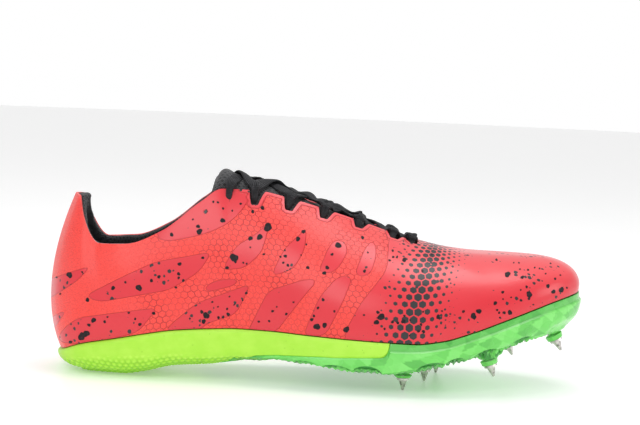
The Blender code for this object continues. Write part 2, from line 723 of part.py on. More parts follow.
def make_lace_cross(last, index):
    """Crossing of the two lace runs between one pair of lace places and the next."""
    ends = []
    for pair, side, shift in ((index, -1, 1), (index + 1, -1, -1), (index + 1, 1, -1), (index, 1, 1)):
        row, rise = lace_ends(last, pair, side)
        metre = (column(last.edge_x, row + 0.2) - column(last.edge_x, row - 0.2)) / 0.4
        if pair > 0:
            row += shift * (LACE_TIP_WIDTH / 2.0 + GAP) / metre
        ends.append((row, side * (2.0 - rise), pair))
    middle = sum(row for row, turn, pair in ends) / 4.0
    stations = (0.45, 0.62, 0.76, 0.86, 0.93, 1.0)
    widths = (1.0, 1.0, 0.72, 0.42, 0.26, 0.22)
    lifts = (0.97, 0.85, 0.55, 0.10, -0.4, -0.56)
    over = (0.97, 0.88, 0.72, 0.52, 0.34, 0.22)

    def place(end, share, lift):
        row = middle + (end[0] - middle) * share
        turn = end[1] * share
        return inward(last.girth, row, turn, -lift, last.last_row)

    def unit(vector):
        return vector / np.linalg.norm(vector)

    centre = inward(last.girth, middle, 0.0, -LACE_LIFT, last.last_row)
    arms = [unit(place(end, 0.3, LACE_LIFT) - centre) for end in ends]
    bottom, top, faces = {}, {}, []
    for k in range(4):
        sine = np.linalg.norm(np.cross(arms[k], arms[(k + 1) % 4]))
        point = centre + (arms[k] + arms[(k + 1) % 4]) * (LACE_WIDTH / 2.0 / max(sine, 0.3))
        bottom[("corner", k)] = point
        top[("corner", k)] = point + np.array((0.0, 0.0, LACE_THICK))
    faces.append(tuple(("corner", k) for k in range(4)))
    for k, end in enumerate(ends):
        last_pair = (("corner", k - 1 if k else 3), ("corner", k))
        for step, share in enumerate(stations):
            lift = LACE_LIFT * (over if end[2] == 0 else lifts)[step]
            at = place(end, share, lift)
            ahead = place(end, share + 0.02, lift) - place(end, share - 0.02, lift)
            row = middle + (end[0] - middle) * share
            normal = surface_normal(last.girth, row, end[1] * share, last.last_row)
            aside = unit(np.cross(normal, ahead))
            half = LACE_WIDTH / 2.0 * widths[step]
            for hand, name in ((-1, "left"), (1, "right")):
                bottom[(k, step, name)] = at + aside * half * hand
                top[(k, step, name)] = at + aside * half * hand + normal * LACE_THICK
            pair = ((k, step, "left"), (k, step, "right"))
            faces.append((last_pair[1], last_pair[0], pair[0], pair[1]))
            last_pair = pair
    obj = layered_solid(f"lace_cross_{index + 1}", top, bottom, faces, "lace_weave")
    smooth(obj, 50.0)
    return obj


def underside(grid, x, y):
    """Point of the underside nearest to a plan position, from a grid of its points."""
    away = np.hypot(grid[:, 0] - x, grid[:, 1] - y)
    nearest = np.argsort(away)[:4]
    weights = 1.0 / (away[nearest] + 1e-6)
    height = float(np.dot(grid[nearest, 2], weights) / weights.sum())
    return np.array((x, y, height))


def turned_solid(name, profile, sides, finish):
    """Solid turned about Z from (radius, height) points that start and end on the axis."""
    bm = bmesh.new()
    rings = []
    for radius, height in profile:
        if radius == 0.0:
            rings.append([bm.verts.new((0.0, 0.0, height))] * sides)
        else:
            rings.append([
                bm.verts.new((
                    radius * math.cos(2.0 * math.pi * k / sides),
                    radius * math.sin(2.0 * math.pi * k / sides),
                    height,
                ))
                for k in range(sides)
            ])
    for near, far in zip(rings, rings[1:]):
        for k in range(sides):
            ring = [near[k], near[(k + 1) % sides], far[(k + 1) % sides], far[k]]
            ring = [v for i, v in enumerate(ring) if v is not ring[i - 1]]
            bm.faces.new(ring)
    return make_object(name, bm, finish)


def spike_frames(last):
    """Name, base point, axis and seat height of each spike."""
    frames = []
    grid = np.array([
        last.sole(row, turn)
        for row in np.linspace(9.0, last.last_row - 0.2, 110)
        for turn in np.linspace(-1.15, 1.15, 44)
    ])
    for name, x_share, y_share, lean, grounded in SPIKES:
        x = x_share * SHOE_LENGTH
        y = y_share * BALL_WIDTH
        seat = underside(grid, x, y)
        angle = math.radians(lean)
        axis = np.array((math.sin(angle), 0.0, -math.cos(angle)))
        base = np.array((x, y, SPIKE_LENGTH)) if grounded else seat
        away = grid - base
        along = away @ -axis
        beside = np.linalg.norm(away + np.outer(along, axis), axis=1)
        rise = float(along[beside < BOSS_RADIUS + SEAT_GAP].min()) - 2 * GAP
        if not grounded:
            base = seat + axis * (SEAT_HEIGHT - rise)
            rise = SEAT_HEIGHT
        frames.append((name, base, axis, rise))
    return frames


def stand(obj, base, axis):
    """Place a turned object with its -Z along the axis and its origin at the base."""
    turn = Vector((0.0, 0.0, -1.0)).rotation_difference(Vector(axis))
    obj.matrix_world = Matrix.Translation(Vector(base)) @ turn.to_matrix().to_4x4()


def make_spikes(last):
    """Seven steel spikes, and the seats under the plate that they screw into."""
    for name, base, axis, rise in spike_frames(last):
        profile = (
            (0.0, 0.0),
            (SPIKE_FLANGE_RADIUS, 0.0),
            (SPIKE_FLANGE_RADIUS, -SPIKE_FLANGE_THICK),
            (SPIKE_CONE_RADIUS, -SPIKE_FLANGE_THICK),
            (SPIKE_TIP_RADIUS, -SPIKE_LENGTH),
            (0.0, -SPIKE_LENGTH),
        )
        spike = turned_solid(f"spike_{name}", profile, SPIKE_SIDES, "spike_steel")
        stand(spike, base, axis)
        smooth(spike, 35.0)
        boss_profile = (
            (0.0, rise),
            (BOSS_RADIUS, rise),
            (BOSS_RADIUS * 0.9, GAP),
            (0.0, GAP),
        )
        boss = turned_solid(f"spike_seat_{name}", boss_profile, BOSS_SIDES, "plate_tpu")
        stand(boss, base, axis)


def main():
    """Build the shoe."""
    remove_all()
    last = Last()
    make_upper(last)
    make_lining(last)
    make_tongue(last)
    make_midsole(last)
    make_plate(last)
    make_insole(last)
    make_spikes(last)
    for index in range(NOTCH_COUNT):
        make_lace_cross(last, index)


main()
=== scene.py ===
"""Dresses the track spike shoe: moulded red upper, black laces and linings, foam and spike plate.

The shoe is for the right foot and stands empty. Heel to toe runs along +X, the outer side faces
-Y, +Z is up, and all lengths are in metres.
"""
import logging
import math
from dataclasses import dataclass, field
from enum import IntEnum
from typing import Callable, Optional

import bmesh
import bpy
import numpy as np
from mathutils import Matrix, Vector, bvhtree, kdtree


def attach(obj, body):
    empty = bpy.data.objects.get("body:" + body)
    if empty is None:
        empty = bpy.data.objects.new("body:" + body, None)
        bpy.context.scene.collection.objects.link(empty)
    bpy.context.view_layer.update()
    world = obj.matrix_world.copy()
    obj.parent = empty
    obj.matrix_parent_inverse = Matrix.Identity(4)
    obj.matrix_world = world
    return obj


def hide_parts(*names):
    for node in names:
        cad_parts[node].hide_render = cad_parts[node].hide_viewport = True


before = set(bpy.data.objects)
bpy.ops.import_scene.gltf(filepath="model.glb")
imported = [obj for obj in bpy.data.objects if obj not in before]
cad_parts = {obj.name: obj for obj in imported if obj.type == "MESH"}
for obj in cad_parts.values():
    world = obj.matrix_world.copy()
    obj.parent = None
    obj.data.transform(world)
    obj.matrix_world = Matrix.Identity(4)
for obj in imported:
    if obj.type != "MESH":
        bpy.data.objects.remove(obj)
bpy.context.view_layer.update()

LOG = logging.getLogger("spike_shoe")

Array = np.ndarray
Colour = tuple[float, float, float, float]
Material = bpy.types.Material
Piece = bpy.types.Object
Socket = bpy.types.NodeSocket

# Driving sizes of the last
SHOE_LENGTH = 0.280
BALL_WIDTH = 0.092
HEEL_HEIGHT = 0.092
INSTEP_HEIGHT = 0.100
SOLE_HEIGHT = 0.030

# Walls and clearances
UPPER_WALL = 0.0018
INSOLE_THICK = 0.0030
TONGUE_THICK = 0.0034
PLATE_WALL = 0.0030
RIM_STEP = 0.0012
RIM_LEDGE = 0.0021
GAP = 0.0003
SEAT_GAP = 0.0005
SOFT_GAP = 0.0006

# Notches of the lace edge
NOTCH_COUNT = 5
NOTCH_PITCH = 0.0180
NOTCH_BACK = 0.0010
NOTCH_FLOOR = 0.0036
NOTCH_SLOPE = 0.0037
NOTCH_DEPTH = 0.0088
NOTCH_DEPTH_LAST = 0.0062

# Spike plate
PLATE_REAR = 0.0480
PLATE_NOSE = 0.1435
# Sections of the last from heel to toe tip, one row each. Columns, as shares:
# foot x (of SHOE_LENGTH), foot half width lateral and medial (of BALL_WIDTH), foot height
# (of SOLE_HEIGHT), lower handle out (of BALL_WIDTH) and up (of INSTEP_HEIGHT), edge x
# (of SHOE_LENGTH), edge half width lateral and medial (of BALL_WIDTH), edge height (of
# HEEL_HEIGHT in the first four rows, then of INSTEP_HEIGHT), upper handle out and down
LAST_ROWS = (
    (-0.098, 0.0, 0.0, 0.343, 0.092, 0.180, -0.079, 0.0, 0.0, 1.000, 0.158, 0.360),
    (-0.086, 0.158, 0.158, 0.393, 0.087, 0.180, -0.070, 0.092, 0.092, 0.993, 0.152, 0.340),
    (-0.050, 0.288, 0.288, 0.550, 0.071, 0.190, -0.055, 0.179, 0.179, 0.870, 0.120, 0.240),
    (0.018, 0.342, 0.342, 0.697, 0.049, 0.160, -0.023, 0.245, 0.245, 0.739, 0.082, 0.150),
    (0.067, 0.359, 0.348, 0.797, 0.033, 0.150, 0.029, 0.283, 0.283, 0.687, 0.071, 0.140),
    (0.121, 0.364, 0.332, 0.887, 0.022, 0.170, 0.093, 0.283, 0.277, 0.764, 0.071, 0.140),
    (0.186, 0.375, 0.304, 0.943, 0.022, 0.220, 0.157, 0.245, 0.239, 0.910, 0.076, 0.150),
    (0.243, 0.391, 0.288, 0.973, 0.027, 0.260, 0.200, 0.207, 0.201, 0.985, 0.087, 0.150),
    (0.300, 0.429, 0.293, 0.973, 0.027, 0.260, 0.257, 0.185, 0.179, 0.983, 0.109, 0.130),
    (0.371, 0.489, 0.326, 0.953, 0.027, 0.250, 0.339, 0.158, 0.152, 0.935, 0.152, 0.110),
    (0.443, 0.527, 0.380, 0.930, 0.027, 0.240, 0.421, 0.130, 0.125, 0.870, 0.185, 0.090),
    (0.507, 0.538, 0.429, 0.913, 0.027, 0.230, 0.493, 0.103, 0.098, 0.806, 0.212, 0.065),
    (0.557, 0.533, 0.457, 0.903, 0.027, 0.230, 0.543, 0.082, 0.082, 0.756, 0.228, 0.040),
    (0.607, 0.516, 0.462, 0.960, 0.033, 0.220, 0.582, 0.076, 0.082, 0.730, 0.239, 0.022),
    (0.664, 0.484, 0.451, 1.120, 0.033, 0.200, 0.621, 0.076, 0.082, 0.710, 0.239, 0.012),
    (0.721, 0.435, 0.418, 1.317, 0.033, 0.160, 0.661, 0.074, 0.082, 0.699, 0.217, 0.006),
    (0.771, 0.370, 0.370, 1.487, 0.033, 0.135, 0.700, 0.065, 0.076, 0.696, 0.207, 0.002),
    (0.814, 0.288, 0.299, 1.620, 0.030, 0.115, 0.736, 0.052, 0.065, 0.695, 0.196, 0.001),
    (0.845, 0.196, 0.207, 1.693, 0.028, 0.105, 0.761, 0.037, 0.048, 0.694, 0.185, 0.0),
    (0.863, 0.100, 0.105, 1.727, 0.026, 0.100, 0.775, 0.020, 0.024, 0.693, 0.185, 0.0),
    (0.869, 0.0, 0.0, 1.733, 0.025, 0.100, 0.780, 0.0, 0.0, 0.692, 0.185, 0.0),
)
HEEL_ROWS = 4

# Sole at the same sections: inset of the lower edge from the rim (of BALL_WIDTH), height of the
# lower edge lateral and medial, and hollow of the underside (of SOLE_HEIGHT)
SOLE_ROWS = (
    (0.133, 0.007, 0.007, 0.0),
    (0.114, 0.0, 0.0, 0.0),
    (0.098, 0.0, 0.0, 0.0),
    (0.087, 0.0, 0.0, 0.0),
    (0.076, 0.057, 0.057, 0.010),
    (0.067, 0.173, 0.167, 0.027),
    (0.061, 0.220, 0.213, 0.047),
    (0.057, 0.297, 0.287, 0.067),
    (0.054, 0.310, 0.310, 0.087),
    (0.054, 0.260, 0.280, 0.110),
    (0.054, 0.173, 0.213, 0.130),
    (0.054, 0.147, 0.163, 0.150),
    (0.057, 0.200, 0.160, 0.160),
    (0.061, 0.297, 0.223, 0.150),
    (0.065, 0.480, 0.360, 0.087),
    (0.071, 0.627, 0.540, 0.080),
    (0.071, 0.813, 0.753, 0.073),
    (0.082, 0.947, 0.920, 0.060),
    (0.092, 1.037, 1.023, 0.040),
    (0.103, 1.080, 1.073, 0.020),
    (0.114, 1.100, 1.100, 0.0),
)


class Side(IntEnum):
    """The two sides of the shoe."""

    LATERAL = -1
    MEDIAL = 1


class Column:
    """One column of a table of sections, read at fractional rows without overshoot."""

    def __init__(self, values: Array, odd: bool = False) -> None:
        """Keep the values and find their slopes.

        Args:
            values: One value a row.
            odd: True where the column changes sign past heel and toe.
        """
        steps = np.diff(values)
        total = steps[1:] + steps[:-1]
        product = steps[1:] * steps[:-1]
        inner = np.where(product > 0.0, 2.0 * product / np.where(total == 0.0, 1.0, total), 0.0)
        ends = (steps[0], steps[-1]) if odd else (0.0, 0.0)
        self.values = np.asarray(values, dtype=float)
        self.tangents = np.concatenate(([ends[0]], inner, [ends[1]]))

    def at(self, row: Array) -> Array:
        """Values at the given rows.

        Args:
            row: Whole or part rows.

        Returns:
            One value for each row.
        """
        row = np.asarray(row, dtype=float)
        base = np.clip(np.floor(row).astype(int), 0, len(self.values) - 2)
        part = row - base
        return (
            (2 * part ** 3 - 3 * part ** 2 + 1) * self.values[base]
            + (part ** 3 - 2 * part ** 2 + part) * self.tangents[base]
            + (3 * part ** 2 - 2 * part ** 3) * self.values[base + 1]
            + (part ** 3 - part ** 2) * self.tangents[base + 1]
        )


def unit(vectors: Array) -> Array:
    """Vectors scaled to length one."""
    return vectors / np.maximum(np.linalg.norm(vectors, axis=-1, keepdims=True), 1e-12)


def run_length(points: Array, axis: int = 0) -> Array:
    """Length along lines of points, 0 at their first point.

    Args:
        points: Grid of points, the last axis of three.
        axis: Axis that the lines follow.

    Returns:
        One length for each point.
    """
    steps = np.linalg.norm(np.diff(points, axis=axis), axis=-1)
    pad = [(0, 0)] * steps.ndim
    pad[axis] = (1, 0)
    return np.cumsum(np.pad(steps, pad), axis=axis)


def curve(points: tuple[Array, ...], share: Array) -> Array:
    """Cubic Bezier through four arrays of points.

    Args:
        points: Start, two handles and end, each with a last axis of three.
        share: Place along the curve from 0 to 1.

    Returns:
        The points on the curve.
    """
    t = np.asarray(share, dtype=float)[..., None]
    rest = 1.0 - t
    a, b, c, d = points
    return a * rest ** 3 + b * 3 * rest ** 2 * t + c * 3 * rest * t ** 2 + d * t ** 3


def soft(value: Array, low: float, high: float) -> Array:
    """Smooth step from 0 at low to 1 at high."""
    t = np.clip((value - low) / (high - low), 0.0, 1.0)
    return t * t * (3.0 - 2.0 * t)


class Last:
    """The last the shoe is built on, with its wall, bridge and sole as smooth surfaces."""

    def __init__(self) -> None:
        """Scale the tables by the driving sizes."""
        rows = np.array(LAST_ROWS)
        sole = np.array(SOLE_ROWS)
        self.end = len(rows) - 1
        scale = np.where(np.arange(len(rows)) < HEEL_ROWS, HEEL_HEIGHT, INSTEP_HEIGHT)
        self.foot_x = Column(rows[:, 0] * SHOE_LENGTH)
        self.foot_y = {
            Side.LATERAL: Column(rows[:, 1] * BALL_WIDTH, True),
            Side.MEDIAL: Column(rows[:, 2] * BALL_WIDTH, True)
        }
        self.foot_z = Column(rows[:, 3] * SOLE_HEIGHT)
        self.low_out = Column(rows[:, 4] * BALL_WIDTH)
        self.low_up = Column(rows[:, 5] * INSTEP_HEIGHT)
        self.edge_x = Column(rows[:, 6] * SHOE_LENGTH)
        self.edge_y = {
            Side.LATERAL: Column(rows[:, 7] * BALL_WIDTH, True),
            Side.MEDIAL: Column(rows[:, 8] * BALL_WIDTH, True)
        }
        self.edge_z = Column(rows[:, 9] * scale)
        self.high_out = Column(rows[:, 10] * BALL_WIDTH)
        self.high_down = Column(rows[:, 11] * INSTEP_HEIGHT)
        self.inset = Column(sole[:, 0] * BALL_WIDTH)
        self.low_z = {
            Side.LATERAL: Column(sole[:, 1] * SOLE_HEIGHT),
            Side.MEDIAL: Column(sole[:, 2] * SOLE_HEIGHT)
        }
        self.hollow = Column(sole[:, 3] * SOLE_HEIGHT)
        self.grid = np.linspace(0.0, self.end, 801)
        self.grid_edge_x = self.edge_x.at(self.grid)
        self.grid_foot_x = self.foot_x.at(self.grid)
        self.grid_foot_z = self.foot_z.at(self.grid)

    def bed(self, x: Array) -> Array:
        """Height of the footbed at x."""
        return np.interp(x, self.grid_foot_x, self.grid_foot_z) - SEAT_GAP

    def row_at_edge(self, x: Array) -> Array:
        """Rows whose lace or collar edge has the given x."""
        return np.interp(x, self.grid_edge_x, self.grid)

    def row_at_foot(self, x: Array) -> Array:
        """Rows whose foot line has the given x."""
        return np.interp(x, self.grid_foot_x, self.grid)

    def foot(self, row: Array, side: Side) -> Array:
        """Points of the foot line.

        Args:
            row: Rows of the last.
            side: Side of the shoe.

        Returns:
            One point for each row.
        """
        return np.stack(
            [self.foot_x.at(row), side * self.foot_y[side].at(row), self.foot_z.at(row)], -1
        )

    def edge(self, row: Array, side: Side) -> Array:
        """Points of the collar and lace edge, or of its run over the vamp.

        Args:
            row: Rows of the last.
            side: Side of the shoe.

        Returns:
            One point for each row.
        """
        return np.stack(
            [self.edge_x.at(row), side * self.edge_y[side].at(row), self.edge_z.at(row)], -1
        )

    def outward(self, row: Array, side: Side) -> Array:
        """Level unit vectors square to the foot line, pointing away from the foot.

        Args:
            row: Rows of the last.
            side: Side of the shoe.

        Returns:
            One vector for each row.
        """
        row = np.asarray(row, dtype=float)
        step = 0.02
        first, second = np.full_like(row, step), np.full_like(row, self.end - step)
        low = self.foot(np.maximum(row - step, 0.0), side)
        high = self.foot(np.minimum(row + step, self.end), side)
        low = np.where((row < step)[..., None], self.foot(first, -side), low)
        high = np.where((row > self.end - step)[..., None], self.foot(second, -side), high)
        along = high - low
        level = np.zeros_like(along[..., 0])
        return unit(np.stack([along[..., 1], -along[..., 0], level], -1) * -side)

    def wall(self, row: Array, side: Side, rise: Array) -> Array:
        """Outside of the upper's wall; rise runs from 0 at the foot line to 1 at the edge.

        Args:
            row: Rows of the last.
            side: Side of the shoe.
            rise: Share of the way up the wall.

        Returns:
            Points of the wall.
        """
        start, end, out = self.foot(row, side), self.edge(row, side), self.outward(row, side)
        up = np.array((0.0, 0.0, 1.0))
        low = start + out * self.low_out.at(row)[..., None] + up * self.low_up.at(row)[..., None]
        high = end + out * self.high_out.at(row)[..., None] - up * self.high_down.at(row)[..., None]
        return curve((start, low, high, end), rise)

    def bridge(self, row: Array, across: Array) -> Array:
        """Surface between the two edges; across runs from 0 lateral to 1 medial.

        Args:
            row: Rows of the last.
            across: Share of the way from the lateral to the medial edge.

        Returns:
            Points of the bridge.
        """
        ends = [self.edge(row, side) for side in Side]
        reach = np.linalg.norm(ends[1] - ends[0], axis=-1, keepdims=True) / 3.0
        handles = []
        for side, point in zip(Side, ends):
            toward = point - self.wall(row, side, np.full_like(row, 0.97))
            toward[..., 0] = 0.0
            handles.append(point + unit(toward) * reach)
        return curve((ends[0], handles[0], handles[1], ends[1]), across)

    def girth(self, row: Array, turn: Array) -> Array:
        """Wall and bridge as one surface; turn is -2 and 2 at the foot line, -1 and 1 at the edges.

        Args:
            row: Rows of the last.
            turn: Turns round the section.

        Returns:
            Points of the surface.
        """
        row, turn = np.broadcast_arrays(np.asarray(row, dtype=float), np.asarray(turn, dtype=float))
        left = self.wall(row, Side.LATERAL, np.clip(2.0 + turn, 0.0, 1.0))
        right = self.wall(row, Side.MEDIAL, np.clip(2.0 - turn, 0.0, 1.0))
        top = self.bridge(row, np.clip((turn + 1.0) / 2.0, 0.0, 1.0))
        picked = np.where((turn <= -1.0)[..., None], left, top)
        return np.where((turn >= 1.0)[..., None], right, picked)

    def rim(self, row: Array, side: Side) -> Array:
        """Top outer corner of the sole.

        Args:
            row: Rows of the last.
            side: Side of the shoe.

        Returns:
            Points of the rim.
        """
        point = self.foot(row, side) + self.outward(row, side) * RIM_STEP
        point[..., 2] -= SEAT_GAP
        return point

    def low_edge(self, row: Array, side: Side) -> Array:
        """Lower edge of the sole's side.

        Args:
            row: Rows of the last.
            side: Side of the shoe.

        Returns:
            Points of the edge.
        """
        point = self.rim(row, side) - self.outward(row, side) * self.inset.at(row)[..., None]
        point[..., 2] = self.low_z[side].at(row)
        return point

    def sole(self, row: Array, turn: Array) -> Array:
        """Outside of the sole; turn is -2 and 2 at the rims, -1 and 1 at the lower edges.

        Args:
            row: Rows of the last.
            turn: Turns round the section.

        Returns:
            Points of the surface.
        """
        row, turn = np.broadcast_arrays(np.asarray(row, dtype=float), np.asarray(turn, dtype=float))
        parts = {}
        for side in Side:
            top, low, out = self.rim(row, side), self.low_edge(row, side), self.outward(row, side)
            height = (top - low)[..., 2:3] * np.array((0.0, 0.0, 1.0))
            first = top + out * 0.0012 - height * 0.45
            second = low + out * (0.72 * self.inset.at(row)[..., None]) + height * 0.02
            parts[side] = curve((top, first, second, low), np.clip(2.0 - np.abs(turn), 0.0, 1.0))
        lateral, medial = self.low_edge(row, Side.LATERAL), self.low_edge(row, Side.MEDIAL)
        under = lateral + (medial - lateral) * ((turn + 1.0) / 2.0)[..., None]
        under[..., 2] += self.hollow.at(row) * (1.0 - np.clip(turn, -1.0, 1.0) ** 4)
        picked = np.where((turn <= -1.0)[..., None], parts[Side.LATERAL], under)
        return np.where((turn >= 1.0)[..., None], parts[Side.MEDIAL], picked)

    def normal(self, surface: Callable, row: Array, turn: Array) -> Array:
        """Outward unit normals of a (row, turn) surface, from central differences.

        Args:
            surface: The girth or the sole.
            row: Rows of the points.
            turn: Turns of the points.

        Returns:
            One unit vector for each point.
        """
        row, turn = np.broadcast_arrays(np.asarray(row, dtype=float), np.asarray(turn, dtype=float))
        row, turn = row.copy(), turn.copy()
        step = 0.02
        middle = np.abs(turn) < 1.02
        turn[middle & ((row < 0.01) | (row > self.end - 0.01))] = 0.0
        row = np.where(middle, np.clip(row, 0.3, self.end - 0.3), row)
        low, high = np.maximum(row - step, 0.0), np.minimum(row + step, self.end)
        along = surface(high, turn) - surface(low, turn)
        across = surface(row, np.minimum(turn + step, 2.0)) - surface(
            row, np.maximum(turn - step, -2.0)
        )
        near = np.full_like(row, step)
        heel = surface(near, turn) - surface(near, -turn)
        toe = surface(self.end - near, -turn) - surface(self.end - near, turn)
        along = np.where((row < step)[..., None], heel, along)
        along = np.where((row > self.end - step)[..., None], toe, along)
        return unit(np.cross(along, across))


class Sketch:
    """The side elevation the windows and prints are laid out on, in picture units of 0.5243 mm."""

    unit_size = 0.0005243
    distance = 0.932
    aim = np.array((0.106, 0.0, 0.0867))
    pitch = math.radians(5.0)
    roll = math.radians(2.46)

    @classmethod
    def axes(cls) -> tuple[Array, Array, Array]:
        """Right, up and away from the eye, as unit vectors.

        Returns:
            The three vectors.
        """
        away = np.array((0.0, math.cos(cls.pitch), -math.sin(cls.pitch)))
        level = np.array((1.0, 0.0, 0.0))
        upright = np.array((0.0, math.sin(cls.pitch), math.cos(cls.pitch)))
        right = level * math.cos(cls.roll) + upright * math.sin(cls.roll)
        return right, upright * math.cos(cls.roll) - level * math.sin(cls.roll), away

    @classmethod
    def place(cls, points: Array) -> Array:
        """Sketch places of points, with the medial side folded over onto the lateral one.

        Args:
            points: Points in space.

        Returns:
            Sketch x and y of each point.
        """
        folded = np.array(points, dtype=float)
        folded[..., 1] = -np.abs(folded[..., 1])
        right, up, away = cls.axes()
        offset = folded - cls.aim
        scale = cls.distance / (cls.distance + offset @ away) / cls.unit_size
        return np.stack([320.0 + offset @ right * scale, 212.5 - offset @ up * scale], -1)


def rounded(corners: tuple[tuple[float, float], ...], cut: float = 4.4) -> Array:
    """Closed outline with its corners cut by a length, then once more by half of it.

    Args:
        corners: Corners in order.
        cut: Length cut from each edge at a corner.

    Returns:
        The corners of the softened outline.
    """
    line = np.array(corners, dtype=float)
    for length in (cut, cut / 2.0):
        step = np.roll(line, -1, axis=0) - line
        share = np.minimum(length / np.maximum(np.linalg.norm(step, axis=1), 1e-9), 0.32)[:, None]
        line = np.stack([line + step * share, line + step * (1.0 - share)], 1).reshape(-1, 2)
    return line


def outline_distance(points: Array, outline: Array) -> Array:
    """Signed distance of plane points to a closed outline, negative inside.

    Args:
        points: Plane points.
        outline: Corners in order.

    Returns:
        One distance for each point.
    """
    best = np.full(len(points), 1e9)
    inside = np.zeros(len(points), dtype=bool)
    for a, b in zip(outline, np.roll(outline, -1, axis=0)):
        edge = b - a
        t = np.clip(((points - a) @ edge) / max(edge @ edge, 1e-12), 0.0, 1.0)
        best = np.minimum(best, np.linalg.norm(points - a - t[:, None] * edge, axis=1))
        crosses = (a[1] > points[:, 1]) != (b[1] > points[:, 1])
        at = a[0] + (points[:, 1] - a[1]) / (edge[1] if abs(edge[1]) > 1e-12 else 1e-12) * edge[0]
        inside ^= crosses & (points[:, 0] < at)
    return np.where(inside, -best, best)


class Shell:
    """A closed mesh gathered from grids of points, with values kept at its vertices."""

    def __init__(self) -> None:
        """Start empty."""
        self.points: list[Array] = []
        self.faces: list[tuple[int, ...]] = []
        self.count = 0

    def grid(self, points: Array) -> Array:
        """Add a grid of points and return their numbers.

        Args:
            points: Rows and columns of points.

        Returns:
            The vertex numbers, in the same grid.
        """
        numbers = np.arange(self.count, self.count + points.shape[0] * points.shape[1])
        self.points.append(points.reshape(-1, 3))
        self.count += len(numbers)
        return numbers.reshape(points.shape[:2])

    def skin(self, numbers: Array, flip: bool = False) -> None:
        """Fill a grid of vertex numbers with four-sided faces.

        Args:
            numbers: Grid of vertex numbers.
            flip: Turn the faces the other way.
        """
        a, b = numbers[:-1, :-1].ravel(), numbers[1:, :-1].ravel()
        c, d = numbers[1:, 1:].ravel(), numbers[:-1, 1:].ravel()
        order = (a, d, c, b) if flip else (a, b, c, d)
        self.faces.extend(zip(*(part.tolist() for part in order)))

    def slab(self, top: Array, under: Array) -> None:
        """Fill two grids as the faces of a slab and close its long edges.

        Args:
            top: Vertex numbers of the outer face.
            under: Vertex numbers of the inner face.
        """
        self.skin(top)
        self.skin(under, True)
        self.skin(np.stack([top[:, 0], under[:, 0]], 1), True)
        self.skin(np.stack([top[:, -1], under[:, -1]], 1))

    def build(self, name: str, values: Optional[dict[str, Array]] = None,
              skin_map: Optional[Array] = None, angle: float = 60.0) -> Piece:
        """Make the object, merge its doubles and turn it outward.

        Args:
            name: Name of the piece.
            values: Named numbers, one for each vertex.
            skin_map: Flat coordinates of each vertex, for patterns that follow the surface.
            angle: Edges sharper than this stay sharp.

        Returns:
            The new object, at the origin.
        """
        mesh = bpy.data.meshes.new(name)
        mesh.from_pydata(np.concatenate(self.points).tolist(), [], self.faces)
        for key, numbers in (values or {}).items():
            mesh.attributes.new(key, "FLOAT", "POINT").data.foreach_set(
                "value", np.asarray(numbers, dtype=np.float32)
            )
        if skin_map is not None:
            loops = np.empty(len(mesh.loops), dtype=np.int32)
            mesh.loops.foreach_get("vertex_index", loops)
            layer = mesh.uv_layers.new(name="skin")
            layer.data.foreach_set("uv", np.asarray(skin_map, dtype=np.float32)[loops].ravel())
        work = bmesh.new()
        work.from_mesh(mesh)
        bmesh.ops.remove_doubles(work, verts=work.verts, dist=0.000012)
        bmesh.ops.dissolve_degenerate(work, edges=work.edges, dist=0.000001)
        if work.calc_volume(signed=True) < 0.0:
            bmesh.ops.reverse_faces(work, faces=work.faces)
        work.to_mesh(mesh)
        work.free()
        obj = bpy.data.objects.new(name, mesh)
        bpy.context.scene.collection.objects.link(obj)
        mesh.shade_smooth()
        mesh.set_sharp_from_angle(angle=math.radians(angle))
        return obj


def dress(piece: Piece, finish: Material, slot: str, *stands_for: str) -> Piece:
    """Give a piece its finish and its body, and hide the solids that it stands for.

    Args:
        piece: The piece.
        finish: Its material.
        slot: Name of the slot. Not used.
        stands_for: Names of the solids.

    Returns:
        The same piece.
    """
    piece.data.materials.append(finish)
    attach(piece, "root")
    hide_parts(*stands_for)
    return piece


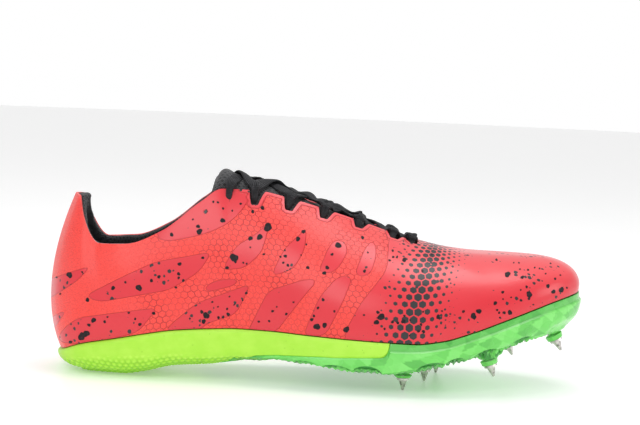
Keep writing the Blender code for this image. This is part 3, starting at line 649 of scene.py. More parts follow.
class Nodes:
    """Short calls for wiring a material or a group."""

    def __init__(self, tree: bpy.types.NodeTree) -> None:
        """Work in a node tree."""
        self.tree = tree

    @classmethod
    def start(cls, name: str) -> tuple[Material, "Nodes", bpy.types.Node]:
        """Begin a material.

        Args:
            name: Name of the material.

        Returns:
            The material, its nodes and its shader.
        """
        made = bpy.data.materials.new(name)
        made.use_nodes = True
        return made, cls(made.node_tree), made.node_tree.nodes["Principled BSDF"]

    def relief(self, shader: bpy.types.Node, height: object, strength: float) -> None:
        """Emboss a shader by a height in millimetres."""
        bump = self.add("Bump", {"Height": height, "Distance": 0.001, "Strength": strength})
        self.put(shader.inputs["Normal"], bump)

    def put(self, socket: Socket, value: object) -> None:
        """Link or set one input.

        Args:
            socket: The input.
            value: A socket to link, or a plain value.
        """
        if isinstance(value, Socket):
            self.tree.links.new(value, socket)
        elif value is not None:
            socket.default_value = value

    def add(
        self, kind: str, inputs: Optional[dict] = None, output: object = 0, **settings: object
    ) -> Socket:
        """Add a node.

        Args:
            kind: Blender's name of the node type, without its prefix.
            inputs: Values or sockets by input name or number.
            output: Name or number of the output that is wanted.
            settings: Properties of the node.

        Returns:
            The wanted output socket.
        """
        node = self.tree.nodes.new("ShaderNode" + kind)
        for key, value in settings.items():
            setattr(node, key, value)
        for key, value in (inputs or {}).items():
            self.put(node.inputs[key], value)
        return node.outputs[output]

    def math(self, operation: str, a: object, b: object = None) -> Socket:
        """One step of arithmetic."""
        inputs = {k: v for k, v in enumerate((a, b)) if v is not None}
        return self.add("Math", inputs, operation=operation)

    def times(self, a: object, b: object) -> Socket:
        """Product of two values."""
        return self.math("MULTIPLY", a, b)

    def plus(self, a: object, b: object) -> Socket:
        """Sum of two values."""
        return self.math("ADD", a, b)

    def minus(self, a: object, b: object) -> Socket:
        """First value less the second."""
        return self.math("SUBTRACT", a, b)

    def larger(self, a: object, b: object) -> Socket:
        """Larger of two values."""
        return self.math("MAXIMUM", a, b)

    def vector(self, operation: str, a: object, b: object = None, output: object = 0) -> Socket:
        """One step of vector arithmetic."""
        inputs = {k: v for k, v in enumerate((a, b)) if v is not None}
        return self.add("VectorMath", inputs, output, operation=operation)

    def ramp(
        self, value: object, low: float, high: float, first: float = 0.0, second: float = 1.0
    ) -> Socket:
        """Smooth change from one value to another.

        Args:
            value: The running value.
            low: Where the change starts.
            high: Where it ends.
            first: Result below low.
            second: Result above high.

        Returns:
            The result's socket.
        """
        return self.add(
            "MapRange", {0: value, 1: low, 2: high, 3: first, 4: second},
            interpolation_type="SMOOTHSTEP"
        )

    def blend(self, share: object, a: object, b: object) -> Socket:
        """Mix of two colours.

        Args:
            share: Share of the second colour.
            a: First colour.
            b: Second colour.

        Returns:
            The mixed colour's socket.
        """
        node = self.tree.nodes.new("ShaderNodeMix")
        node.data_type = "RGBA"
        self.put(node.inputs[0], share)
        self.put(node.inputs[6], a)
        self.put(node.inputs[7], b)
        return node.outputs[2]

    def value(self, name: str) -> Socket:
        """Number kept at the vertices under a name."""
        return self.add("Attribute", output="Fac", attribute_name=name)

    def group(self, tree: bpy.types.NodeTree, inputs: dict, output: object = 0) -> Socket:
        """Place a shared group.

        Args:
            tree: The group.
            inputs: Values or sockets by input name.
            output: Name or number of the output that is wanted.

        Returns:
            The wanted output socket.
        """
        node = self.tree.nodes.new("ShaderNodeGroup")
        node.node_tree = tree
        for key, value in inputs.items():
            self.put(node.inputs[key], value)
        return node.outputs[output]


def hex_group() -> bpy.types.NodeTree:
    """Shared group: a field of hexagons with one unit between flats.

    Returns:
        A group with the input Place and the outputs Edge (0 at a border, 0.5 in the middle),
        Cell and Chance.
    """
    tree = bpy.data.node_groups.get("Hexagons")
    if tree:
        return tree
    tree = bpy.data.node_groups.new("Hexagons", "ShaderNodeTree")
    tree.interface.new_socket("Place", in_out="INPUT", socket_type="NodeSocketVector")
    for name, kind in (
        ("Edge", "NodeSocketFloat"), ("Cell", "NodeSocketVector"), ("Chance", "NodeSocketFloat")
    ):
        tree.interface.new_socket(name, in_out="OUTPUT", socket_type=kind)
    n = Nodes(tree)
    start, end = tree.nodes.new("NodeGroupInput"), tree.nodes.new("NodeGroupOutput")
    pitch, half = (1.0, 1.7320508, 1.0), (0.5, 0.8660254, 0.5)
    place = n.vector(
        "MULTIPLY", n.vector("ADD", start.outputs[0], (200.0, 346.41016, 0.0)), (1.0, 1.0, 0.0)
    )
    a = n.vector(
        "MULTIPLY", n.vector("SUBTRACT", n.vector("MODULO", place, pitch), half), (1.0, 1.0, 0.0)
    )
    moved = n.vector("MODULO", n.vector("SUBTRACT", place, half), pitch)
    b = n.vector("MULTIPLY", n.vector("SUBTRACT", moved, half), (1.0, 1.0, 0.0))
    nearer = n.math("LESS_THAN", n.vector("LENGTH", a, output=1), n.vector("LENGTH", b, output=1))
    spread = n.tree.nodes.new("ShaderNodeCombineXYZ")
    for k in range(3):
        n.put(spread.inputs[k], nearer)
    local = n.vector("ADD", b, n.vector("MULTIPLY", n.vector("SUBTRACT", a, b), spread.outputs[0]))
    size = n.vector("ABSOLUTE", local)
    slanted = n.vector("DOT_PRODUCT", size, (0.5, 0.8660254, 0.0), output=1)
    level = n.vector("DOT_PRODUCT", size, (1.0, 0.0, 0.0), output=1)
    cell = n.vector("SUBTRACT", place, local)
    n.put(end.inputs["Edge"], n.minus(0.5, n.larger(slanted, level)))
    n.put(end.inputs["Cell"], cell)
    n.put(end.inputs["Chance"], n.add("TexWhiteNoise", {"Vector": cell}, noise_dimensions="3D"))
    return tree


def speck_group() -> bpy.types.NodeTree:
    """Shared group: paint specks of uneven size, thrown in clusters.

    Returns:
        A group with the inputs Place, Scale and Amount and the output Mask.
    """
    tree = bpy.data.node_groups.get("Specks")
    if tree:
        return tree
    tree = bpy.data.node_groups.new("Specks", "ShaderNodeTree")
    tree.interface.new_socket("Place", in_out="INPUT", socket_type="NodeSocketVector")
    for name in ("Scale", "Amount"):
        tree.interface.new_socket(name, in_out="INPUT", socket_type="NodeSocketFloat")
    tree.interface.new_socket("Mask", in_out="OUTPUT", socket_type="NodeSocketFloat")
    n = Nodes(tree)
    start, end = tree.nodes.new("NodeGroupInput"), tree.nodes.new("NodeGroupOutput")
    wobble = n.add("TexNoise", {"Vector": start.outputs[0], "Scale": 900.0, "Detail": 1.0}, "Color")
    wobble = n.vector(
        "MULTIPLY", n.vector("SUBTRACT", wobble, (0.5, 0.5, 0.5)), (0.0009, 0.0009, 0.0009)
    )
    place = n.vector("ADD", start.outputs[0], wobble)
    cells = n.tree.nodes.new("ShaderNodeTexVoronoi")
    n.put(cells.inputs["Vector"], place)
    n.put(cells.inputs["Scale"], start.outputs[1])
    chance = n.add("SeparateColor", {0: cells.outputs["Color"]})
    cluster = n.add("TexNoise", {"Vector": start.outputs[0], "Scale": 75.0, "Detail": 1.0})
    cluster = n.ramp(cluster, 0.45, 0.62)
    size = n.times(n.times(n.math("POWER", chance, 3.0), start.outputs[2]), cluster)
    gap = n.minus(size, cells.outputs["Distance"])
    n.put(end.inputs[0], n.ramp(gap, -0.01, 0.03))
    return tree


@dataclass(frozen=True)
class FilmFinish:
    """Moulded red film: a raised grained web over smooth windows, with thrown black specks, and a
    painted highlight where the film turns upward.
    """

    web: Colour = (1.0, 0.052, 0.034, 1.0)
    line: Colour = (0.52, 0.012, 0.016, 1.0)
    window: Colour = (0.70, 0.020, 0.034, 1.0)
    # Paler red: the web's random tone, the band along the lace edge, and the painted highlight
    # where the film turns upward.
    pale: Colour = (1.0, 0.16, 0.17, 1.0)
    ink: Colour = (0.012, 0.012, 0.014, 1.0)
    grain_pitch: float = 0.0034
    tile_pitch: float = 0.0046
    wrinkle_scale: float = 980.0
    small_specks: tuple[float, float] = (420.0, 0.55)
    large_specks: tuple[float, float] = (230.0, 0.30)

    def grain(self, n: Nodes, place: Socket, skin: Socket) -> Socket:
        """Engraved lines of the swaying hexagon grain, with fine wrinkles.

        Args:
            n: Wiring of the material.
            place: Object coordinates.
            skin: Coordinates along the film.

        Returns:
            Strength of the lines.
        """
        sway = n.add("TexNoise", {"Vector": skin, "Scale": 260.0, "Detail": 1.0}, "Color")
        sway = n.vector(
            "MULTIPLY", n.vector("SUBTRACT", sway, (0.5, 0.5, 0.5)), (0.0016, 0.0016, 0.0)
        )
        share = 1.0 / self.grain_pitch
        grain_place = n.vector("MULTIPLY", n.vector("ADD", skin, sway), (share, share, 0.0))
        edge = n.group(hex_group(), {"Place": grain_place}, "Edge")
        cell_line = n.ramp(edge, 0.02, 0.10, 1.0, 0.0)
        fine = n.tree.nodes.new("ShaderNodeTexVoronoi")
        fine.feature = "DISTANCE_TO_EDGE"
        n.put(fine.inputs["Vector"], n.vector("ADD", skin, sway))
        fine.inputs["Scale"].default_value = self.wrinkle_scale
        wrinkle = n.ramp(fine.outputs["Distance"], 0.0, 0.16, 1.0, 0.0)
        heel = n.ramp(n.value("heel_grain"), 0.0, 1.0)
        cell_line = n.times(cell_line, n.minus(1.0, n.times(heel, 0.85)))
        patchy = n.ramp(
            n.add("TexNoise", {"Vector": place, "Scale": 60.0, "Detail": 1.0}), 0.38, 0.66, 0.55,
            1.0
        )
        return n.larger(n.times(cell_line, patchy), n.times(wrinkle, 0.42))

    def prints(self, n: Nodes, place: Socket, skin: Socket, web: Socket) -> tuple[Socket, Socket]:
        """Specks in the windows and the band of printed tiles.

        Args:
            n: Wiring of the material.
            place: Object coordinates.
            skin: Coordinates along the film.
            web: Share of the raised web.

        Returns:
            The black ink of both, and the tiles alone.
        """
        band = n.value("tile_band")
        small, large = (
            n.group(speck_group(), {"Place": place, "Scale": scale, "Amount": amount})
            for scale, amount in (self.small_specks, self.large_specks)
        )
        specks = n.larger(large, small)
        specks = n.times(specks, n.minus(1.0, web))
        tile_place = n.vector("MULTIPLY", skin, (1.0 / self.tile_pitch, 1.0 / self.tile_pitch, 0.0))
        tile = n.group(hex_group(), {"Place": tile_place}, "Edge")
        need = n.minus(0.52, n.times(band, 0.47))
        tiles = n.times(
            n.ramp(n.minus(tile, need), -0.012, 0.02), n.math("GREATER_THAN", band, 0.03)
        )
        ink = n.larger(specks, tiles)
        return ink, tiles

    def make(self) -> Material:
        """Build the material.

        Returns:
            The material.
        """
        made, n, shader = Nodes.start("upper_film")
        place = n.add("TexCoord", output="Object")
        skin = n.add("UVMap", uv_map="skin")
        outline, rim = n.value("window_mm"), n.value("rim_mm")
        ragged = n.add("TexNoise", {"Vector": place, "Scale": 420.0, "Detail": 2.0})
        ragged = n.times(n.minus(ragged, 0.5), 0.35)
        web = n.ramp(n.plus(outline, ragged), -0.22, 0.22)
        past_rim = n.ramp(rim, 1.75, 2.1)
        web = n.times(web, past_rim)
        rim_line = n.ramp(n.math("ABSOLUTE", n.minus(rim, 1.95)), 0.10, 0.36, 1.0, 0.0)
        window_line = n.ramp(n.math("ABSOLUTE", outline), 0.06, 0.34, 1.0, 0.0)
        window_line = n.times(window_line, past_rim)
        lines = self.grain(n, place, skin)
        lines = n.times(lines, web)
        tone = n.add("TexNoise", {"Vector": place, "Scale": 35.0, "Detail": 3.0})
        web_colour = n.blend(n.ramp(tone, 0.3, 0.7, 0.0, 0.14), self.web, self.pale)
        colour = n.blend(web, self.window, web_colour)
        # Painted highlight: where the film turns upward it is blended towards the pale colour, as
        # where the top light falls.
        upward_highlight = n.add("SeparateXYZ", {0: n.add("NewGeometry", output="Normal")}, 2)
        colour = n.blend(n.ramp(upward_highlight, 0.35, 1.0, 0.0, 0.45), colour, self.pale)
        near_rim = n.ramp(rim, 0.2, 1.9, 0.30, 0.0)
        colour = n.blend(near_rim, colour, self.pale)
        engraved = n.larger(lines, n.larger(n.times(rim_line, 0.75), n.times(window_line, 0.70)))
        colour = n.blend(engraved, colour, self.line)
        ink, tiles = self.prints(n, place, skin, web)
        colour = n.blend(ink, colour, self.ink)
        backing = n.ramp(n.value("backing"), 0.35, 0.60)
        colour = n.blend(backing, colour, self.ink)
        # The spare eyelet hole is not cut but painted near-black: painted shade standing in for the
        # open hole.
        hole = n.ramp(n.value("hole_mm"), -0.15, 0.25, 1.0, 0.0)
        n.put(shader.inputs["Base Color"], n.blend(hole, colour, (0.004, 0.004, 0.005, 1.0)))
        shade = n.plus(n.times(web, 0.10), n.times(tone, 0.16))
        n.put(shader.inputs["Roughness"], n.plus(n.plus(shade, 0.24), n.times(ink, 0.12)))
        shader.inputs["Coat Weight"].default_value = 0.25
        shader.inputs["Coat Roughness"].default_value = 0.22
        height = n.times(web, 0.42)
        height = n.minus(height, n.times(lines, 0.22))
        height = n.minus(height, n.times(rim_line, 0.22))
        height = n.minus(height, n.times(window_line, 0.10))
        height = n.plus(height, n.times(tiles, 0.06))
        soft_grain = n.add("TexNoise", {"Vector": place, "Scale": 1500.0, "Detail": 1.0})
        height = n.plus(height, n.times(soft_grain, n.plus(0.02, n.times(web, 0.07))))
        height = n.minus(height, n.times(hole, 0.8))
        n.relief(shader, height, 0.9)
        return made


# Windows of the web in sketch units, their corners heel to toe. The last two are the smooth ankle
# and the smooth toe
WINDOWS: dict[str, tuple[tuple[float, float], ...]] = {
    "heel_leaf": ((40, 282), (51, 279), (68, 273), (91, 266), (77, 281), (50, 298), (40, 303)),
    "heel_sliver": ((44, 321), (54, 316), (67, 309.5), (56, 325), (50, 335)),
    "long_leaf": ((85, 296), (118, 279), (155, 262), (212, 252), (199, 272), (169, 290), (99, 302)),
    "heel_low": ((58, 342), (61, 331), (77, 318), (123, 312), (158, 308), (138, 332), (90, 345)),
    "mid_low": ((166, 331), (170, 325), (197, 303), (251, 284), (236, 314), (205, 324), (200, 331)),
    "small_leaf": ((204, 287), (217, 280), (238, 279), (236, 285), (208, 292)),
    "slant_one": ((247, 333), (268, 291), (306, 279), (318, 280), (304, 296), (275, 333)),
    "leaf_one": ((222, 270), (236, 246), (258, 233), (271, 219), (262, 252), (245, 268)),
    "leaf_two": ((271, 276), (284, 249), (307, 228), (304, 252), (292, 270)),
    "slant_two": ((303, 336), (319, 298), (338, 276), (353, 276), (343, 302), (325, 336)),
    "leaf_three": ((318, 273), (329, 246), (338, 238), (349, 246), (344, 260), (334, 273)),
    "leaf_four": ((354, 276), (365, 248), (374, 239), (377, 254), (370, 276)),
    "ankle": (
        (158, 236), (160, 240), (172, 241), (201, 235), (218, 229), (233, 220), (246, 205),
        (252, 190), (230, 170), (150, 215)
    ),
    "toe": (
        (391, 218), (389, 240), (387, 270), (374, 287), (361, 303), (345, 332), (345, 420),
        (640, 420), (640, 120), (430, 150)
    ),
}


@dataclass
class Upper:
    """The moulded upper: one hollow wall, open at the collar and along the throat."""

    last: Last
    levels: int = 54
    bridge_levels: int = 26
    spacing: float = 0.00128
    closing: float = 0.158
    eyelet: tuple[float, float, float] = (0.0477, 0.0868, 0.0011)
    finish: FilmFinish = field(default_factory=FilmFinish)

    def cuts(self) -> list[tuple[float, ...]]:
        """Start x, back width, full width and depth of each lace notch, heel to toe.

        Returns:
            One row of four lengths for each notch.
        """
        first = self.last.edge_x.values[7] + 0.0134
        whole = NOTCH_BACK + NOTCH_FLOOR + NOTCH_SLOPE
        made = [
            (
                first + k * NOTCH_PITCH, 0.0012, whole,
                NOTCH_DEPTH + (NOTCH_DEPTH_LAST - NOTCH_DEPTH) * k / (NOTCH_COUNT - 1)
            )
            for k in range(NOTCH_COUNT)
        ]
        return made + [(0.1510, 0.0018, 0.0066, 0.0050)]

    def cut_depth(self, x: Array) -> Array:
        """Depth of the notches along the lace edge.

        Args:
            x: Places along the lace edge.

        Returns:
            One depth for each place.
        """
        depth = np.zeros_like(x)
        for start, back, whole, deep in self.cuts():
            along = x - start
            up = np.clip(along / back, 0.0, 1.0)
            down = np.clip((whole - along) / (whole - NOTCH_FLOOR - back), 0.0, 1.0)
            shape = up * (down * 0.65 + 0.35 * down * down * (3.0 - 2.0 * down))
            depth = np.maximum(depth, deep * shape)
        return depth

    def stations(self) -> Array:
        """Rows from heel to toe, close together along the lace edge.

        Returns:
            The rows.
        """
        rows = np.linspace(0.0, self.last.end, 5001)
        foot, edge = self.last.foot(rows, Side.LATERAL), self.last.edge(rows, Side.LATERAL)
        step = np.maximum(*(np.linalg.norm(np.diff(x, axis=0), axis=1) for x in (foot, edge)))
        laced = (edge[1:, 0] > 0.067) & (edge[1:, 0] < 0.160)
        along = np.concatenate(([0.0], np.cumsum(step * np.where(laced, 2.5, 1.0))))
        count = int(along[-1] / self.spacing)
        picked = np.interp(np.linspace(0.0, along[-1], count + 1), along, rows)
        close_row = float(self.last.row_at_edge(self.closing))
        picked[np.argmin(np.abs(picked - close_row))] = close_row
        return picked

    def top(self, rows: Array, side: Side) -> Array:
        """Rise that each row's wall reaches under its notch.

        Args:
            rows: Rows of the last.
            side: Side of the shoe.

        Returns:
            One rise for each row.
        """
        depth = self.cut_depth(self.last.edge_x.at(rows))
        rises = np.linspace(1.0, 0.55, 61)
        grid = self.last.wall(rows[:, None] + 0 * rises, side, rises[None, :] + 0 * rows[:, None])
        lengths = run_length(grid, 1)
        return np.array([np.interp(d, line, rises) for d, line in zip(depth, lengths)])

    def build(self) -> Piece:
        """Mesh the wall ring, the vamp's bridge and the edges between outside and inside.

        Returns:
            The piece.
        """
        last, rows = self.last, self.stations()
        close_row = float(last.row_at_edge(self.closing))
        shares = np.linspace(0.0, 1.0, self.levels)
        shell, maps, backing = Shell(), [], []
        sides: dict[Side, tuple[Array, Array]] = {}
        foot = last.foot(rows, Side.LATERAL)
        along = run_length(foot)
        for side in Side:
            rise = shares[:, None] * self.top(rows, side)[None, :]
            row = np.broadcast_to(rows, rise.shape)
            turn = side * (2.0 - rise)
            outer = last.girth(row, turn)
            normal = last.normal(last.girth, row, turn)
            inner = outer - normal * UPPER_WALL
            inner[0, :, 2] = last.bed(inner[0, :, 0]) + SEAT_GAP + GAP
            inner[-1] = outer[-1] - normal[-1] * UPPER_WALL
            bulge = outer[-1] - normal[-1] * (UPPER_WALL / 2.0)
            tangent = unit(outer[-1] - outer[-2])
            bulge = bulge + tangent * 0.0004
            height = run_length(outer)
            flat = np.stack([np.broadcast_to(along, height.shape), height], -1)
            a, b = shell.grid(outer), shell.grid(inner)
            maps += [flat.reshape(-1, 2), flat.reshape(-1, 2)]
            backing += [np.zeros(height.size), np.ones(height.size), np.zeros(len(rows))]
            middle = shell.grid(bulge[None])
            maps.append(flat[-1])
            shell.skin(a, side > 0)
            shell.skin(b, side < 0)
            open_part = rows <= close_row + 1e-9
            top = np.stack([a[-1], middle[0], b[-1]])[:, open_part]
            shell.skin(top, side > 0)
            shell.skin(np.stack([a[0], b[0]]), side < 0)
            sides[side] = (a, b)
        front = rows[rows >= close_row - 1e-9]
        across = np.linspace(-1.0, 1.0, self.bridge_levels)
        row = np.broadcast_to(front, (len(across), len(front)))
        turn = np.broadcast_to(across[:, None], row.shape)
        outer = last.girth(row, turn)
        inner = outer - last.normal(last.girth, row, turn) * UPPER_WALL
        a, b = shell.grid(outer), shell.grid(inner)
        flat = np.stack([outer[..., 0] + 0.05, outer[..., 1] + 0.15], -1).reshape(-1, 2)
        maps += [flat, flat]
        backing += [np.zeros(len(flat)), np.ones(len(flat))]
        shell.skin(a)
        shell.skin(b, True)
        shell.skin(np.stack([a[:, 0], b[:, 0]]), True)
        points = np.concatenate(shell.points)
        values = self.values(points, rows) | {"backing": np.concatenate(backing)}
        return shell.build("upper_film", values, np.concatenate(maps), 58.0)

    def values(self, points: Array, rows: Array) -> dict[str, Array]:
        """Distances that the finish reads at each vertex.

        Args:
            points: The vertices.
            rows: Stations of the wall.

        Returns:
            Named numbers: millimetres from the windows, the lace edge and the eyelet, and shares.
        """
        sketch = Sketch.place(points)
        window = np.full(len(points), 1e3)
        for name, corners in WINDOWS.items():
            window = np.minimum(window, outline_distance(sketch, rounded(corners)) * 0.5243)
        edge_rows = rows[
            (self.last.edge_x.at(rows) > 0.0655) & (
                self.last.edge_x.at(rows) < self.closing + 0.001
            )
        ]
        tree = kdtree.KDTree(2 * len(edge_rows))
        for side in Side:
            rise = self.top(edge_rows, side)
            for k, point in enumerate(self.last.wall(edge_rows, side, rise)):
                tree.insert(point, k + (side > 0) * len(edge_rows))
        tree.balance()
        rim = np.array([tree.find(p)[2] for p in points.tolist()]) * 1000.0
        centre = 418.0 + (300.0 - sketch[:, 1]) * 0.30
        band = 1.0 - np.abs(sketch[:, 0] - centre) / 44.0
        heel = 1.0 - soft(points[:, 0], -0.006, 0.030)
        away = np.hypot(
            points[:, 0] - self.eyelet[0], points[:, 2] - self.eyelet[1]
        ) - self.eyelet[2]
        return {
            "window_mm": window, "rim_mm": rim, "tile_band": np.clip(band, 0.0, 1.0),
            "heel_grain": heel, "hole_mm": away * 1000.0,
        }

    def make(self) -> Piece:
        """Build and dress the upper."""
        return dress(self.build(), self.finish.make(), "upper_film", "upper")
# Paint drops thrown on the upper: place in sketch units and half width
DROPS: tuple[tuple[float, float, float], ...] = (
    (56.6, 277.3, 0.9), (60.3, 293.9, 0.9), (69.6, 275.0, 2.6), (70.5, 342.0, 1.5),
    (81.6, 336.5, 3.3), (82.2, 272.1, 0.9), (86.2, 333.7, 3.0), (87.5, 299.8, 1.8),
    (89.0, 325.0, 1.5), (93.6, 320.2, 2.2), (104.7, 321.7, 1.3), (107.5, 317.0, 0.9),
    (113.1, 288.0, 1.8), (125.4, 282.3, 1.1), (128.8, 312.8, 1.1), (135.2, 318.9, 1.1),
    (138.9, 287.8, 2.8), (139.9, 324.4, 1.5), (151.5, 280.6, 1.5), (153.7, 313.3, 1.5),
    (158.9, 276.7, 1.5), (171.7, 234.7, 1.7), (175.9, 287.4, 1.1), (178.7, 277.8, 1.2),
    (178.7, 273.9, 1.5), (179.6, 264.0, 1.7), (183.3, 280.5, 1.3), (189.9, 318.4, 0.9),
    (192.9, 219.4, 0.9), (196.3, 206.4, 1.3), (198.1, 226.4, 1.7), (199.4, 231.6, 2.6),
    (201.8, 311.9, 1.6), (202.8, 257.8, 1.3), (203.7, 321.4, 2.0), (206.2, 315.5, 2.9),
    (212.3, 302.0, 1.0), (213.3, 201.8, 1.1), (217.9, 202.4, 1.1), (218.0, 306.8, 0.8),
    (218.5, 317.6, 1.3), (222.7, 220.5, 2.2), (223.1, 317.0, 1.3), (223.1, 208.5, 1.1),
    (227.1, 267.8, 1.6), (227.1, 308.9, 1.1), (228.2, 314.3, 1.6), (229.5, 296.6, 0.8),
    (232.3, 210.7, 0.9), (234.0, 257.6, 3.6), (234.1, 304.8, 0.7), (235.3, 261.4, 1.5),
    (240.7, 203.8, 1.1), (242.7, 300.2, 0.9), (243.3, 262.7, 0.9), (246.3, 293.1, 1.2),
    (246.7, 263.7, 0.9), (250.3, 247.3, 0.8), (250.5, 238.4, 2.0), (252.7, 211.6, 1.5),
    (258.8, 321.6, 1.1), (259.7, 237.0, 2.6), (262.5, 207.9, 1.8), (263.8, 254.2, 1.1),
    (267.9, 227.3, 3.7), (269.2, 321.1, 1.1), (272.6, 311.2, 1.2), (276.8, 306.8, 0.8),
    (280.5, 256.8, 1.0), (283.3, 262.7, 1.1), (284.8, 250.2, 0.9), (285.3, 256.1, 1.5),
    (286.3, 314.0, 1.2), (287.9, 265.3, 1.3), (293.5, 302.2, 0.9), (298.0, 239.0, 2.0),
    (301.1, 255.1, 0.7), (303.5, 231.6, 1.8), (306.3, 244.5, 0.9), (307.8, 267.6, 1.5),
    (311.8, 319.6, 1.5), (313.9, 316.0, 1.2), (316.9, 326.7, 2.9), (318.0, 307.9, 1.2),
    (323.1, 299.7, 1.4), (324.3, 273.1, 1.7), (324.6, 325.2, 2.2), (327.2, 267.6, 1.7),
    (332.0, 254.4, 1.3), (334.4, 311.3, 1.1), (338.2, 245.3, 2.7), (346.3, 329.5, 2.7),
    (362.6, 237.7, 1.5), (364.0, 315.0, 1.0), (364.5, 271.1, 1.4), (367.8, 252.5, 0.9),
    (376.5, 322.3, 2.3), (376.9, 333.8, 0.9), (377.9, 312.3, 1.5), (381.2, 316.9, 3.1),
    (384.6, 328.9, 1.1), (389.6, 260.4, 1.1), (392.5, 321.9, 1.4), (392.7, 250.6, 1.1),
    (393.2, 257.0, 1.1), (397.0, 257.0, 1.1), (397.7, 322.8, 1.4), (403.3, 321.4, 1.9),
    (404.2, 259.9, 1.9), (404.4, 315.8, 1.1), (409.5, 335.7, 0.8), (410.0, 320.1, 0.8),
    (416.2, 255.1, 0.8), (418.6, 331.0, 1.4), (421.0, 324.5, 1.2), (422.4, 271.0, 1.1),
    (423.1, 311.8, 0.9), (423.5, 331.6, 1.5), (432.0, 254.6, 0.8), (438.2, 316.9, 1.9),
    (442.0, 311.1, 0.9), (463.4, 311.5, 1.3), (473.5, 316.1, 2.7), (478.8, 311.3, 2.3),
    (495.2, 303.2, 1.7), (496.5, 259.8, 1.1), (497.1, 310.0, 1.1), (499.1, 312.7, 1.1),
    (500.0, 317.7, 1.0), (502.7, 292.2, 1.3), (503.0, 299.1, 0.8), (504.1, 312.7, 1.4),
    (507.5, 274.4, 2.5), (509.9, 312.5, 2.1), (511.1, 297.4, 0.8), (513.7, 262.7, 0.7),
    (518.9, 262.8, 0.8), (519.9, 269.2, 0.8), (520.7, 290.0, 0.8), (520.9, 300.3, 1.2),
    (522.3, 277.3, 1.5), (526.6, 286.9, 1.2), (528.0, 269.9, 1.0), (529.0, 298.6, 1.3),
    (529.2, 294.5, 2.7), (533.3, 304.6, 0.8), (534.7, 267.6, 0.8), (539.5, 268.5, 0.8),
    (545.6, 273.7, 0.8), (547.9, 286.1, 1.7), (550.5, 263.4, 0.8), (553.4, 291.7, 1.9),
    (555.1, 278.8, 1.1), (560.3, 275.1, 0.8), (561.3, 289.8, 2.4), (566.8, 287.8, 0.9),
    (570.0, 269.2, 0.8), (576.8, 277.8, 1.7),
)


@dataclass(frozen=True)
class PaintFinish:
    """Matt black paint, a little greyer where it dried thin."""

    colour: Colour = (0.012, 0.011, 0.013, 1.0)
    thin: Colour = (0.045, 0.022, 0.026, 1.0)

    def make(self) -> Material:
        """Build the material.

        Returns:
            The material.
        """
        made, n, shader = Nodes.start("paint_drops")
        place = n.add("TexCoord", output="Object")
        cloud = n.add("TexNoise", {"Vector": place, "Scale": 800.0, "Detail": 2.0})
        n.put(
            shader.inputs["Base Color"], n.blend(n.ramp(cloud, 0.45, 0.75), self.colour, self.thin)
        )
        n.put(shader.inputs["Roughness"], n.ramp(cloud, 0.3, 0.7, 0.36, 0.50))
        shader.inputs["Specular IOR Level"].default_value = 0.18
        n.relief(shader, n.times(cloud, 0.08), 0.6)
        return made


@dataclass
class PaintDrops:
    """Flat drops of paint with ragged borders, laid on both sides of the upper."""

    upper: Upper
    lift: float = 0.00006
    finish: PaintFinish = field(default_factory=PaintFinish)

    def build(self) -> Piece:
        """Lay each drop on the film where the sketch line meets it.

        Returns:
            The piece.
        """
        film = bpy.data.objects["upper_film"]
        tree = bvhtree.BVHTree.FromPolygons(
            [v.co for v in film.data.vertices], [tuple(p.vertices) for p in film.data.polygons])
        right, up, away = Sketch.axes()
        eye = Sketch.aim - away * Sketch.distance
        shell = Shell()
        for number, (x, y, size) in enumerate(DROPS):
            for side in (1.0, -1.0):
                shape = self.border(number + 0.5 * side, size)
                spots = []
                for du, dv in shape:
                    u, v = (x + du - 320.0) * Sketch.unit_size, (212.5 - y - dv) * Sketch.unit_size
                    ray = away * Sketch.distance + right * u + up * v
                    hit, normal, _, _ = tree.ray_cast(
                        Vector((eye[0], eye[1] * side, eye[2])),
                        Vector((ray[0], ray[1] * side, ray[2]))
                    )
                    if hit is None or normal.y * side > 0.05:
                        break
                    spots.append(hit + normal * self.lift)
                if len(spots) < len(shape) or max(
                    (p - spots[0]).length for p in spots
                ) > size * 0.0026:
                    continue
                numbers = shell.grid(np.array([tuple(p) for p in spots])[None])[0]
                ring = numbers[1:].tolist()
                for a, b in zip(ring, ring[1:] + ring[:1]):
                    shell.faces.append(
                        (int(numbers[0]), b, a) if side > 0 else (int(numbers[0]), a, b)
                    )
        return shell.build("paint_drops", None, None, 60.0)

    def border(self, seed: float, size: float) -> list[tuple[float, float]]:
        """Middle and ragged border of a drop, in sketch units around its place.

        Args:
            seed: Changes the border from drop to drop.
            size: Half width of the drop.

        Returns:
            Places of the middle and of the border's corners.
        """
        count = 10 if size < 1.2 else 16
        angles = np.arange(count) * 2.0 * math.pi / count
        wave = 0.13 * np.sin(2.0 * angles + seed * 2.3) + 0.09 * np.sin(3.0 * angles + seed * 4.1)
        wave += 0.06 * np.sin(5.0 * angles + seed * 7.7)
        reach = size * (1.12 + wave)
        return [(0.0, 0.0)] + list(
            zip((reach * np.cos(angles)).tolist(), (reach * np.sin(angles)).tolist())
        )

    def make(self) -> Piece:
        """Build and dress the drops.

        Returns:
            The piece.
        """
        piece = self.build()
        piece.data.materials.append(self.finish.make())
        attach(piece, "root")
        return piece




def chance(a: Array, b: Array) -> Array:
    """Fixed number from 0 to 1 for each pair of whole numbers."""
    mixed = np.sin(a * 127.1 + b * 311.7) * 43758.5453
    return mixed - np.floor(mixed)


